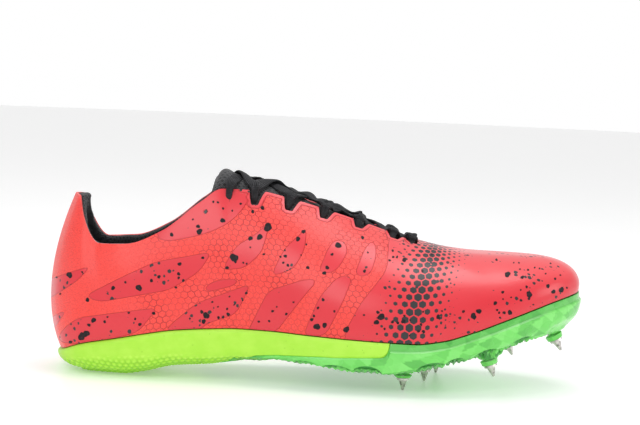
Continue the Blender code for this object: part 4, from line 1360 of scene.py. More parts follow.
def facets(u: Array, v: Array, size: float) -> tuple[Array, Array]:
    """Heights of a surface folded into flat three-cornered facets, and each facet's painted
    shading.

    Args:
        u: Places along the surface.
        v: Places across the surface.
        size: Size of a facet.

    Returns:
        Height from 0 to 1, and painted shading from 0 (dark) to 1 (light), at each place.
    """
    u, v = u / size, v / size
    skew = (u + v) * 0.36602540
    i, j = np.floor(u + skew), np.floor(v + skew)
    a, b = u + skew - i, v + skew - j
    first = a > b
    near = chance(i, j)
    far = chance(i + 1, j + 1)
    mid = np.where(first, chance(i + 1, j), chance(i, j + 1))
    high, low = np.maximum(a, b), np.minimum(a, b)
    height = near * (1.0 - high) + mid * (high - low) + far * low
    return height, chance(i * 2.0 + first, j * 3.0 + 1.0)


def hex_distance(u: Array, v: Array, pitch: float) -> tuple[Array, Array, Array]:
    """Distance to the border of hexagons with a pitch, and the middle of each one's cell.

    Args:
        u: Places along the surface.
        v: Places across the surface.
        pitch: Width of a hexagon between its flats.

    Returns:
        Distance to the border, and the middle's two places.
    """
    best, centre_u, centre_v = np.full_like(u, -1e9), np.zeros_like(u), np.zeros_like(u)
    for shift in (0.0, 0.5):
        cu = (np.round(u / pitch - shift) + shift) * pitch
        cv = (np.round(v / (pitch * 1.7320508) - shift) + shift) * pitch * 1.7320508
        du, dv = np.abs(u - cu), np.abs(v - cv)
        inside = pitch / 2.0 - np.maximum(du, du * 0.5 + dv * 0.8660254)
        nearer = inside > best
        best = np.where(nearer, inside, best)
        centre_u, centre_v = np.where(nearer, cu, centre_u), np.where(nearer, cv, centre_v)
    return best, centre_u, centre_v


def seat_places() -> Array:
    """Middles of the spike seats, seen from above.

    Returns:
        One row of x and y for each seat.
    """
    found = []
    for name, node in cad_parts.items():
        if name.startswith("spike_seat_"):
            spots = np.array([tuple(node.matrix_world @ v.co) for v in node.data.vertices])
            found.append((spots.min(0) + spots.max(0))[:2] / 2.0)
    return np.array(found)


@dataclass
class Underside:
    """Outside of the sole with its lower edge swept up, as the photo shows it."""

    last: Last
    places: tuple[float, ...] = (
        -0.030, 0.0, 0.040, 0.075, 0.100, 0.125, 0.150, 0.170, 0.190, 0.205, 0.225, 0.240
    )
    lifts: tuple[float, ...] = (2.2, 3.2, 4.2, 4.6, 5.2, 5.6, 5.6, 5.0, 4.4, 4.0, 1.5, 0.0)
    seats: Array = field(default_factory=seat_places)

    def surface(self, row: Array, turn: Array) -> Array:
        """Points of the outside at rows and turns.

        Args:
            row: Rows of the last.
            turn: Turns round the section.

        Returns:
            Points of the surface.
        """
        points = self.last.sole(row, turn)
        size = np.abs(turn)
        inner = np.clip((size - 0.62) / 0.38, 0.0, 1.0) ** 2
        outer = np.clip(1.0 - (size - 1.0) / 0.85, 0.0, 1.0)
        share = np.where(size < 1.0, inner, outer) * self.clear(points, 0.0105)
        lift = np.interp(self.last.foot_x.at(row), self.places, self.lifts)
        points[..., 2] += lift * 0.001 * share
        return points

    def clear(self, points: Array, reach: float) -> Array:
        """Share that is 0 at a spike seat and 1 past a reach from it.

        Args:
            points: Points of the sole.
            reach: Distance at which the share is whole.

        Returns:
            One share for each point.
        """
        share = np.ones(points.shape[:-1])
        for x, y in self.seats:
            share = share * soft(np.hypot(points[..., 0] - x, points[..., 1] - y), 0.0045, reach)
        return share


@dataclass
class Border:
    """Where foam and plate meet on the sole, as a half girth at each row."""

    last: Last
    rear: float = PLATE_REAR
    nose: float = PLATE_NOSE
    nose_round: float = 0.0046
    places: tuple[float, ...] = (
        0.048, 0.058, 0.068, 0.0761, 0.0841, 0.1001, 0.1091, 0.1242, 0.1412
    )
    shares: tuple[float, ...] = (0.22, 0.70, 1.04, 1.33, 1.395, 1.51, 1.575, 1.665, 1.735)

    def share(self, row: Array) -> Array:
        """Half girth of the plate: 1 at the lower edge of the side, 2 at the rim.

        Args:
            row: Rows of the last.

        Returns:
            One half girth for each row.
        """
        x = self.last.foot_x.at(row)
        base = np.interp(x, self.places, self.shares)
        bend = np.clip((x - (self.nose - self.nose_round)) / self.nose_round, 0.0, 1.0)
        rise = 1.0 - np.sqrt(np.maximum(1.0 - bend ** 2.4, 0.0))
        return np.where(x < self.rear, 0.0, np.minimum(base + (2.0 - base) * rise, 2.0))


@dataclass(frozen=True)
class FoamFinish:
    """Volt foam skin with a faint mottle, a painted highlight on the nub tops and painted shade
    between the nubs.
    """

    colour: Colour = (0.40, 0.80, 0.045, 1.0)
    # Darker green: the pits of the foam skin, and the painted shade between the nubs.
    deep: Colour = (0.20, 0.55, 0.012, 1.0)
    # Paler green: the random mottle, and the painted highlight on the nub tops.
    pale: Colour = (0.58, 0.92, 0.12, 1.0)

    def make(self) -> Material:
        """Build the material.

        Returns:
            The material.
        """
        made, n, shader = Nodes.start("foam")
        place = n.add("TexCoord", output="Object")
        tone = n.add("TexNoise", {"Vector": place, "Scale": 140.0, "Detail": 3.0})
        colour = n.blend(n.ramp(tone, 0.35, 0.7, 0.0, 0.25), self.colour, self.pale)
        # Painted shade darkens the foam between the nubs; painted highlight pales the nub tops.
        colour = n.blend(n.ramp(n.value("nub"), 0.0, 0.55, 0.55, 0.0), colour, self.deep)
        colour = n.blend(n.ramp(n.value("nub"), 0.62, 0.95, 0.0, 0.45), colour, self.pale)
        pits = n.tree.nodes.new("ShaderNodeTexVoronoi")
        n.put(pits.inputs["Vector"], place)
        pits.inputs["Scale"].default_value = 260.0
        pit = n.ramp(pits.outputs["Distance"], 0.05, 0.11, 0.5, 0.0)
        n.put(shader.inputs["Base Color"], n.blend(pit, colour, self.deep))
        n.put(shader.inputs["Roughness"], n.ramp(tone, 0.3, 0.7, 0.40, 0.52))
        skin = n.add("TexNoise", {"Vector": place, "Scale": 1300.0, "Detail": 2.0})
        height = n.minus(n.times(skin, 0.07), n.times(pit, 0.2))
        n.relief(shader, height, 0.8)
        return made


@dataclass(frozen=True)
class PlateFinish:
    """Clear green moulded plate, with painted shading on its facets: painted highlight on the facet
    tops and painted shade in its hollows.
    """

    colour: Colour = (0.15, 0.66, 0.10, 1.0)
    # Dark green: painted shade in the hollows, on the darker facets and on the underside, and the
    # darker lip band.
    deep: Colour = (0.012, 0.25, 0.020, 1.0)
    # Light green: the random cloud, and the painted highlight on the lightest facets.
    bright: Colour = (0.26, 0.80, 0.19, 1.0)
    volt: Colour = (0.33, 0.62, 0.035, 1.0)

    def make(self, name: str, folded: bool) -> Material:
        """Build the material, with the painted shading of the facets where the piece is folded.

        Args:
            name: Name of the material.
            folded: Whether the piece keeps the painted shading of its facets.

        Returns:
            The material.
        """
        made, n, shader = Nodes.start(name)
        place = n.add("TexCoord", output="Object")
        cloud = n.add("TexNoise", {"Vector": place, "Scale": 70.0, "Detail": 2.0})
        relief = n.value("relief") if folded else 0.62
        colour = n.blend(n.ramp(cloud, 0.3, 0.7, 0.0, 0.12), self.colour, self.bright)
        # Painted shading from the relief value: painted shade where it is low, painted highlight
        # where it is high.
        colour = n.blend(n.ramp(relief, 0.02, 0.66, 0.90, 0.0), colour, self.deep)
        colour = n.blend(n.ramp(relief, 0.60, 1.0, 0.0, 0.60), colour, self.bright)
        colour = n.blend(n.times(n.value("lip"), 0.42), colour, self.deep)
        colour = n.blend(n.times(n.value("show_foam"), 0.75), colour, self.volt)
        n.put(shader.inputs["Base Color"], colour)
        n.put(shader.inputs["Roughness"], n.ramp(cloud, 0.3, 0.7, 0.20, 0.32))
        shader.inputs["Subsurface Weight"].default_value = 0.06
        shader.inputs["Subsurface Radius"].default_value = (0.002, 0.004, 0.002)
        shader.inputs["Coat Weight"].default_value = 0.25
        shader.inputs["Coat Roughness"].default_value = 0.15
        ripple = n.add("TexNoise", {"Vector": place, "Scale": 420.0, "Detail": 2.0})
        n.relief(shader, n.times(ripple, 0.12), 0.6)
        return made


@dataclass
class Midsole:
    """Foam midsole with rows of nubs, lapped under by the spike plate."""

    last: Last
    side_columns: int = 58
    under_columns: int = 34
    step: float = 0.00082
    pitch: float = 0.0031
    nub_height: float = 0.00065
    seam: float = 0.010
    finish: FoamFinish = field(default_factory=FoamFinish)

    def rows(self) -> Array:
        """Rows from heel to toe, close behind the nose and wide in front of it.

        Returns:
            The rows.
        """
        fine = np.linspace(0.0, self.last.end, 4001)
        foot = self.last.foot(fine, Side.LATERAL)
        step = np.linalg.norm(np.diff(foot, axis=0), axis=1)
        step *= np.where(foot[1:, 0] > PLATE_NOSE + 0.001, 0.22, 1.0)
        step *= np.where(np.abs(foot[1:, 0] - PLATE_NOSE + 0.002) < 0.0042, 2.2, 1.0)
        along = np.concatenate(([0.0], np.cumsum(step)))
        return np.interp(np.linspace(0.0, along[-1], int(along[-1] / self.step)), along, fine)

    def build(self) -> Piece:
        """Mesh the outside, the recess for the plate and the footbed.

        Returns:
            The piece.
        """
        last, rows = self.last, self.rows()
        x = last.foot_x.at(rows)
        border = Border(last)
        share = np.minimum(border.share(rows) + self.seam, 2.0)
        share = np.where(x < PLATE_REAR, 0.02, share)
        part = np.linspace(0.0, 1.0, self.side_columns)
        half = 2.0 + (share[:, None] - 2.0) * part[None, :]
        middle = np.linspace(-1.0, 1.0, self.under_columns)[1:-1]
        under = share[:, None] * middle[None, :]
        turn = np.concatenate([-half, under, half[:, ::-1]], 1)
        row = np.broadcast_to(rows[:, None], turn.shape)
        under_side = Underside(last)
        outside = under_side.surface(row, turn)
        normal = -last.normal(under_side.surface, row, turn)
        hidden = np.zeros_like(turn)
        hidden[:, self.side_columns:-self.side_columns] = 1.0
        hidden[x < PLATE_REAR] = 0.0
        hidden[x > PLATE_NOSE + 0.0003] = 1.0
        arc = run_length(outside, 1)
        arc -= arc[:, arc.shape[1] // 2:arc.shape[1] // 2 + 1]
        spread = run_length(last.foot(rows, Side.LATERAL))
        along = np.where(
            np.abs(turn) > 1.0, spread[:, None] * 0.75 + (x[:, None] + 0.03) * 0.25,
            x[:, None] + 0.03
        )
        inside, _, _ = hex_distance(along, arc, self.pitch)
        nub = soft(inside, 0.0001, self.pitch * 0.40)
        reach = 1.78 - 0.36 * soft(x, -0.01, 0.085)
        fade = 1.0 - soft(np.abs(turn) - reach[:, None], -0.30, 0.0)
        fade *= 1.0 - hidden
        drop = self.nub_height * fade * (1.0 - nub)
        near_border = (np.abs(turn) - share[:, None]) * 0.018
        drop += np.where(
            x[:, None] > PLATE_REAR,
            0.0005 * (1.0 - soft(near_border, 0.0, 0.0008)) * (1.0 - hidden), 0.0
        )
        near_rim = (2.0 - np.abs(turn)) * 0.018
        drop += 0.0006 * (1.0 - soft(near_rim, 0.0, 0.0011)) * (1.0 - hidden)
        drop += hidden * (PLATE_WALL + SOFT_GAP)
        points = outside - normal * drop[..., None]
        points[..., 2] = np.maximum(points[..., 2], 0.00002)
        across = np.linspace(-1.0, 1.0, 9)
        ledge = RIM_LEDGE + np.where(x > PLATE_NOSE, PLATE_WALL + SOFT_GAP, 0.0)
        left = last.rim(rows, Side.LATERAL) - last.outward(rows, Side.LATERAL) * ledge[:, None]
        right = last.rim(rows, Side.MEDIAL) - last.outward(rows, Side.MEDIAL) * ledge[:, None]
        bed = left[:, None] + (right - left)[:, None] * ((across + 1.0) / 2.0)[None, :, None]
        bed[..., 2] = last.bed(bed[..., 0])
        shell = Shell()
        a, b = shell.grid(points), shell.grid(bed)
        shell.slab(a, b)
        # The nub value is 1 on the nub tops, low between them and at most 0.6 away from the nubs;
        # the foam paints its highlight and its shade from it.
        values = np.concatenate([(1.0 - fade * (1.0 - nub)).ravel(), np.ones(bed.size // 3)])
        top = np.where(
            np.concatenate([fade.ravel(), np.zeros(bed.size // 3)]) > 0.3, values,
            np.minimum(values, 0.6)
        )
        return shell.build("foam_midsole", {"nub": top}, None, 70.0)

    def make(self) -> Piece:
        """Build and dress the midsole."""
        return dress(self.build(), self.finish.make(), "foam", "midsole")


@dataclass
class SpikePlate:
    """Moulded spike plate: a tray under the forefoot with a lip, facets and hollow hexagons."""

    last: Last
    side_columns: int = 34
    under_columns: int = 66
    step: float = 0.00088
    hex_pitch: float = 0.0150
    hex_depth: float = 0.0012
    side_facet: float = 0.0088
    side_fold: float = 0.0021
    under_facet: float = 0.0068
    under_fold: float = 0.0012
    tooth_pitch: float = 0.0031
    tooth_height: float = 0.0022
    scallop_depth: float = 0.0022
    lip_depth: float = 0.0008
    edge_depth: float = 0.0005
    crease_angle: float = 11.0
    scallops: tuple[tuple[float, float, float], ...] = (
        (0.1015, 0.0062, 0.14), (0.1180, 0.0074, 0.18), (0.1330, 0.0076, 0.27),
        (0.1650, 0.0086, 0.33), (0.1765, 0.0056, 0.30), (0.1930, 0.0062, 0.26),
        (0.2110, 0.0064, 0.24),
    )
    finish: PlateFinish = field(default_factory=PlateFinish)

    def dents(self, px: Array, size: Array) -> Array:
        """Depth of the scallops in the plate's side, from none to full.

        Args:
            px: Places along the shoe.
            size: Turns without their sign.

        Returns:
            One depth for each point.
        """
        scallop = np.zeros_like(size)
        for centre, reach, height in self.scallops:
            away = np.sqrt(((px - centre) / reach) ** 2 + ((size - 1.25) / height) ** 2)
            scallop = np.maximum(scallop, 1.0 - soft(away, 0.78, 1.0))
        return scallop

    def cells(self, px: Array, py: Array, size: Array) -> tuple[Array, Array, Array]:
        """Hollow hexagons under the plate and the two fields that hold them.

        Args:
            px: Places along the shoe.
            py: Places across the shoe.
            size: Turns without their sign.

        Returns:
            The depth of the hollows, the field at the toe and the field at the rear.
        """
        inside, cu, cv = hex_distance(px + 0.004, py + 0.0035, self.hex_pitch)
        near_toe = (cu > 0.148) & (cu < 0.246) & (
            np.abs(cv) < 0.030 - 0.10 * np.maximum(cu - 0.20, 0.0)
        )
        at_rear = (cu < 0.105) & (chance(np.round(cu * 900), np.round(cv * 900)) > 0.35)
        cell = soft(inside, 0.0006, 0.0017) * (near_toe | at_rear) * (1.0 - soft(size, 0.80, 0.95))
        return cell, near_toe, at_rear

    def build(self) -> Piece:
        """Mesh the outside with its relief and the plain inside.

        Returns:
            The piece.
        """
        last = self.last
        fine = np.linspace(float(last.row_at_foot(PLATE_REAR + 0.0003)), last.end, 3001)
        along = run_length(last.foot(fine, Side.LATERAL))
        rows = np.interp(np.linspace(0.0, along[-1], int(along[-1] / self.step)), along, fine)
        x = last.foot_x.at(rows)
        share = Border(last).share(rows)
        corner = np.minimum(1.0, share * 0.85)
        part = np.linspace(0.0, 1.0, self.side_columns)
        half = share[:, None] + (corner - share)[:, None] * part[None, :]
        middle = np.linspace(-1.0, 1.0, self.under_columns)[1:-1]
        turn = np.concatenate([-half, corner[:, None] * middle[None, :], half[:, ::-1]], 1)
        row = np.broadcast_to(rows[:, None], turn.shape)
        under_side = Underside(last)
        outside = under_side.surface(row, turn)
        normal = -last.normal(under_side.surface, row, turn)
        size = np.abs(turn)
        px, py = outside[..., 0], outside[..., 1]
        along_row = run_length(last.foot(rows, Side.LATERAL))
        side_u = np.broadcast_to(along_row[:, None], turn.shape)
        side_v = (2.0 - size) * 0.020 + np.where(turn > 0, 0.3, 0.0)
        on_side = soft(size, 1.0, 1.06)
        lip = soft(size, 1.84, 1.88) * (x > PLATE_NOSE - 0.006)[:, None]
        front = soft(px, 0.118, 0.150)
        side_relief, side_shading = facets(side_u * 0.85, side_v * 1.25, self.side_facet)
        side_fold = self.side_fold * (1.0 - side_relief) * soft(2.0 - size, 0.34, 0.75) * front
        scallop = self.dents(px, size)
        tooth = side_u / self.tooth_pitch
        saw = np.abs((tooth % 1.0) * 2.0 - 1.0) * (
            0.6 + 0.8 * chance(np.floor(tooth), np.zeros_like(tooth))
        )
        edge_zone = np.exp(-(((size - 0.95) / 0.20) ** 2)) * (share[:, None] > 1.0)
        cell, near_toe, at_rear = self.cells(px, py, size)
        under_relief, under_shading = facets(px, py, self.under_facet)
        under_fold = self.under_fold * (1.0 - under_relief) * (1.0 - on_side) * (
            1.0 - (near_toe | at_rear)
        )
        drop = side_fold * on_side + under_fold + self.hex_depth * cell
        drop += self.scallop_depth * scallop * on_side
        drop += lip * self.lip_depth - 0.0003 * on_side * (1.0 - lip) * front
        near_foam = 1.0 - soft((share[:, None] - size) * 0.018, 0.0, 0.0006)
        drop += self.edge_depth * near_foam * (x < PLATE_NOSE + 0.001)[:, None]
        calm = under_side.clear(outside, 0.0075)
        points = outside - normal * (drop * calm)[..., None]
        points[..., 2] += calm * (self.tooth_height * saw + 0.0006 * scallop) * edge_zone
        inner = outside - normal * PLATE_WALL
        shell = Shell()
        a, b = shell.grid(points), shell.grid(inner)
        shell.slab(a, b)
        shell.skin(np.stack([a[0], b[0]]))
        # Relief value for the finish: random light and dark facets as painted shading, painted
        # shade in the scallops and on the underside, lighter in the hex hollows.
        relief = np.where(on_side > 0.5, 0.35 + 0.65 * side_shading, 0.25 + 0.75 * under_shading)
        relief = np.clip(
            relief - 0.9 * scallop * on_side - 0.35 * (1.0 - on_side) * (1.0 - cell) + 0.25 * cell,
            0.0, 1.0
        )
        rear = np.clip(cell * at_rear * (1.0 - on_side), 0.0, 1.0)
        values = {"relief": relief, "lip": lip, "show_foam": rear}
        doubled = {key: np.tile(numbers.ravel(), 2) for key, numbers in values.items()}
        return shell.build("spike_plate_dressed", doubled, None, self.crease_angle)

    def make(self) -> list[Piece]:
        """Build and dress the plate, and dress the spike seats under it.

        Returns:
            The pieces.
        """
        piece = dress(self.build(), self.finish.make("plate_tpu", True), "plate_tpu", "spike_plate")
        finish = self.finish.make("plate_tpu_seat", False)
        for name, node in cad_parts.items():
            if name.startswith("spike_seat_"):
                node.data.materials.clear()
                node.data.materials.append(finish)
        return [piece]


@dataclass(frozen=True)
class MeshFinish:
    """Black knitted mesh with rows of small open dots, over a soft pad, with painted sheen on its
    knit bands and painted shade in its dots.
    """

    colour: Colour = (0.020, 0.020, 0.023, 1.0)
    # Lighter grey of the painted sheen on the knit bands.
    thread_sheen: Colour = (0.10, 0.10, 0.105, 1.0)
    dot_pitch: float = 0.0021
    openness: float = 0.24
    name: str = "black_mesh"

    def make(self) -> Material:
        """Build the material.

        Returns:
            The material.
        """
        made, n, shader = Nodes.start(self.name)
        skin = n.add("UVMap", uv_map="skin")
        share = 1.0 / self.dot_pitch
        edge = n.group(
            hex_group(), {"Place": n.vector("MULTIPLY", skin, (share, share, 0.0))}, "Edge"
        )
        dot = n.ramp(edge, 0.5 - self.openness - 0.06, 0.5 - self.openness + 0.06)
        knit = n.add(
            "TexWave", {"Vector": skin, "Scale": 520.0, "Distortion": 2.0, "Detail": 1.0}, "Fac",
            wave_type="BANDS", bands_direction="DIAGONAL"
        )
        cloud = n.add("TexNoise", {"Vector": skin, "Scale": 90.0, "Detail": 2.0})
        # Painted sheen: the knit bands are blended towards a lighter grey.
        colour = n.blend(
            n.times(knit, n.ramp(cloud, 0.3, 0.7, 0.25, 0.75)), self.colour, self.thread_sheen
        )
        # The open dots are painted near-black: painted shade in the openings.
        n.put(shader.inputs["Base Color"], n.blend(dot, colour, (0.004, 0.004, 0.005, 1.0)))
        n.put(shader.inputs["Roughness"], n.ramp(cloud, 0.3, 0.7, 0.62, 0.85))
        shader.inputs["Sheen Weight"].default_value = 0.15
        shader.inputs["Sheen Roughness"].default_value = 0.5
        height = n.minus(n.times(knit, 0.14), n.times(dot, 0.42))
        n.relief(shader, height, 0.9)
        return made


@dataclass
class CollarLining:
    """Padded lining of the collar, rolled over the edge as a black topline."""

    last: Last
    reach: float = 6.42
    thick: float = 0.0030
    roll: float = 0.0013
    finish: MeshFinish = field(default_factory=MeshFinish)

    def build(self) -> Piece:
        """Mesh the lining as a loop of sections round the heel.

        Returns:
            The piece.
        """
        last = self.last
        rows = np.concatenate([np.linspace(0.0, 0.6, 22), np.linspace(0.62, self.reach, 150)])
        low, high = np.linspace(0.58, 0.985, 22), np.linspace(0.985, 0.58, 26)
        angles = np.linspace(0.0, math.pi, 11)[1:-1]
        near = UPPER_WALL + GAP
        lines, maps = [], []
        for side in Side:
            span = np.ones_like(low)[:, None] * rows
            turn = side * (2.0 - low[:, None] - 0.0 * rows)
            base = last.girth(span, turn)
            normal = last.normal(last.girth, span, turn)
            outer = base - normal * near
            turn_in = side * (2.0 - high[:, None] - 0.0 * rows)
            row_in = np.ones_like(high)[:, None] * rows
            base_in = last.girth(row_in, turn_in)
            normal_in = last.normal(last.girth, row_in, turn_in)
            pad = 0.16 + 0.84 * soft(high, 0.58, 0.80)
            crease = 0.10 * np.exp(-(((high - 0.90) / 0.018) ** 2))
            swell = 1.0 + 0.30 * (1.0 - soft(rows, 0.0, 3.4))
            depth = near + self.thick * ((pad - crease)[:, None] * swell[None, :])
            inner = base_in - normal_in * depth[..., None]
            edge = last.wall(rows, side, np.ones_like(rows))
            upward = unit(edge - last.wall(rows, side, np.full_like(rows, 0.96)))
            flat_normal = last.normal(last.girth, rows, np.full_like(rows, side * 1.012))
            half = (self.thick * (1.0 - 0.1) * swell)[None, :, None] / 2.0
            centre = edge[None] - flat_normal[None] * (near + half)
            bend = angles[:, None, None]
            lift = self.roll + 0.00012 * np.sin(rows * 9.0)[None, :, None]
            roll = centre + flat_normal[None] * half * np.cos(bend)
            roll = roll + upward[None] * lift * np.sin(bend)
            section = np.concatenate([outer, roll, inner])
            along = run_length(edge)
            around = run_length(section)
            lines.append(section)
            maps.append(np.stack([np.broadcast_to(along, around.shape), around], -1))
        points = np.concatenate([lines[0][:, ::-1], lines[1][:, 1:]], 1)
        flat = np.concatenate([maps[0][:, ::-1], maps[1][:, 1:]], 1)
        shell = Shell()
        numbers = shell.grid(points)
        shell.skin(np.concatenate([numbers, numbers[:1]]))
        shell.faces.append(tuple(numbers[::-1, 0].tolist()))
        shell.faces.append(tuple(numbers[:, -1].tolist()))
        return shell.build("collar_padding", None, flat.reshape(-1, 2), 70.0)

    def make(self) -> Piece:
        """Build and dress the lining.

        Returns:
            The piece.
        """
        piece = dress(self.build(), self.finish.make(), "black_mesh", "collar_lining")
        return piece


@dataclass
class Tongue:
    """Padded mesh tongue with a rolled top and a soft run under the laces."""

    last: Last
    rise: float = 0.0029
    finish: MeshFinish = MeshFinish(name="tongue_mesh", dot_pitch=0.0026, openness=0.27)

    def build(self) -> Piece:
        """Mesh the top and the underside.

        Returns:
            The piece.
        """
        last = self.last
        rows = np.concatenate([np.linspace(6.52, 7.8, 60), np.linspace(7.82, 13.2, 120)])
        turns = np.concatenate(
            [np.linspace(-1.22, -1.0, 10), np.linspace(-0.96, 0.96, 50), np.linspace(1.0, 1.22, 10)]
        )
        row, turn = np.meshgrid(rows, turns, indexing="ij")
        base = last.girth(row, turn)
        normal = last.normal(last.girth, row, turn)
        across = np.clip(1.0 - np.abs(turn) ** 3, 0.0, 1.0)
        near = UPPER_WALL + GAP
        bump = np.exp(-(((row - 7.02) / 0.34) ** 2))
        top_end = soft(row, 6.52, 6.72)
        dip = soft(row, 7.35, 8.4) * 0.0015 * across
        stitch = 0.0007 * np.exp(-(((row - 7.52) / 0.05) ** 2)) * across
        ripple = 0.00035 * np.sin(row * 17.0 + 2.0 * turn) * soft(row, 7.6, 8.2) * across
        lift = self.rise * bump * across * top_end
        outer = base - normal * (near + dip + stitch + ripple - lift)[..., None]
        thick = TONGUE_THICK * (0.35 + 0.65 * across) * (0.55 + 0.45 * top_end)
        inner = base - normal * (near + dip + thick)[..., None]
        edge_in = soft(np.abs(turn), 1.12, 1.22)[..., None]
        outer = outer - normal * 0.0006 * edge_in
        flat = np.stack([
            run_length(outer),
            run_length(outer, 1),
        ], -1).reshape(-1, 2)
        shell = Shell()
        a, b = shell.grid(outer), shell.grid(inner)
        round_top = (outer[0] + inner[0]) / 2.0 + np.array((-0.0011, 0.0, -0.0004))
        c = shell.grid(round_top[None])
        shell.slab(a, b)
        shell.skin(np.stack([a[0], c[0], b[0]]), True)
        shell.skin(np.stack([a[-1], b[-1]]))
        shell.faces.append((int(a[0, 0]), int(c[0, 0]), int(b[0, 0])))
        shell.faces.append((int(a[0, -1]), int(b[0, -1]), int(c[0, -1])))
        maps = np.concatenate([flat, flat, flat[:len(turns)]])
        return shell.build("tongue_padding", None, maps, 75.0)

    def make(self) -> Piece:
        """Build and dress the tongue.

        Returns:
            The piece.
        """
        piece = dress(self.build(), self.finish.make(), "black_mesh", "tongue")
        return piece


@dataclass
class Insole:
    """Thin covered insole with a turned-down edge and a pressed heel cup."""

    last: Last
    inset: float = RIM_STEP + UPPER_WALL + 0.0010
    finish: MeshFinish = MeshFinish(name="insole_cloth", dot_pitch=0.0034, openness=0.10)

    def build(self) -> Piece:
        """Mesh the top and the underside.

        Returns:
            The piece.
        """
        last = self.last
        rows = np.linspace(0.35, last.end - 0.35, 170)
        across = -np.cos(np.linspace(0.0, math.pi, 46))
        left = last.rim(rows, Side.LATERAL) - last.outward(rows, Side.LATERAL) * self.inset
        right = last.rim(rows, Side.MEDIAL) - last.outward(rows, Side.MEDIAL) * self.inset
        bed = left[:, None] + (right - left)[:, None] * ((across + 1.0) / 2.0)[None, :, None]
        bed[..., 2] = last.bed(bed[..., 0]) + SOFT_GAP
        over = bed.copy()
        round_edge = 1.0 - soft(np.abs(across), 0.90, 1.0)[None, :]
        heel = np.exp(-(((bed[..., 0] - 0.012) / 0.026) ** 2)) * (1.0 - across[None, :] ** 2)
        ball = np.exp(-(((bed[..., 0] - 0.165) / 0.022) ** 2)) * (1.0 - across[None, :] ** 2)
        over[..., 2] += INSOLE_THICK * (0.72 + 0.28 * round_edge) - 0.0011 * heel - 0.0006 * ball
        shell = Shell()
        a, b = shell.grid(over), shell.grid(bed)
        shell.slab(a, b)
        shell.skin(np.stack([a[0], b[0]]))
        shell.skin(np.stack([a[-1], b[-1]]), True)
        flat = np.concatenate([over[..., :2].reshape(-1, 2), over[..., :2].reshape(-1, 2)])
        return shell.build("insole_board", None, flat, 60.0)

    def make(self) -> Piece:
        """Build and dress the insole.

        Returns:
            The piece.
        """
        piece = dress(self.build(), self.finish.make(), "black_mesh", "insole")
        return piece


@dataclass(frozen=True)
class LaceFinish:
    """Flat black woven lace with ribs along it and a fine cross weave, with a painted highlight on
    the rib tops.
    """

    colour: Colour = (0.010, 0.010, 0.011, 1.0)
    # Lighter grey of the painted highlight on the ribs and the weave.
    thread_sheen: Colour = (0.11, 0.11, 0.12, 1.0)

    def make(self) -> Material:
        """Build the material.

        Returns:
            The material.
        """
        made, n, shader = Nodes.start("lace_weave")
        split = n.tree.nodes.new("ShaderNodeSeparateXYZ")
        n.put(split.inputs[0], n.add("UVMap", uv_map="skin"))
        rib = n.math("SINE", n.times(split.outputs[0], 2.0 * math.pi / 0.00092))
        rib = n.times(n.plus(rib, 1.0), 0.5)
        slant = n.plus(n.times(split.outputs[1], 2.0 * math.pi / 0.00075), n.times(rib, 2.2))
        weave = n.times(n.plus(n.math("SINE", slant), 1.0), 0.5)
        place = n.add("TexCoord", output="Object")
        cloud = n.add("TexNoise", {"Vector": place, "Scale": 260.0, "Detail": 2.0})
        # Painted highlight: the rib tops and the weave are blended towards a lighter grey.
        lit = n.times(
            n.times(rib, n.plus(0.35, n.times(weave, 0.65))), n.ramp(cloud, 0.3, 0.7, 0.4, 1.0)
        )
        n.put(shader.inputs["Base Color"], n.blend(lit, self.colour, self.thread_sheen))
        n.put(shader.inputs["Roughness"], n.ramp(cloud, 0.3, 0.7, 0.50, 0.68))
        shader.inputs["Specular IOR Level"].default_value = 0.22
        height = n.plus(n.times(rib, 0.42), n.times(weave, 0.12))
        n.relief(shader, height, 1.0)
        return made


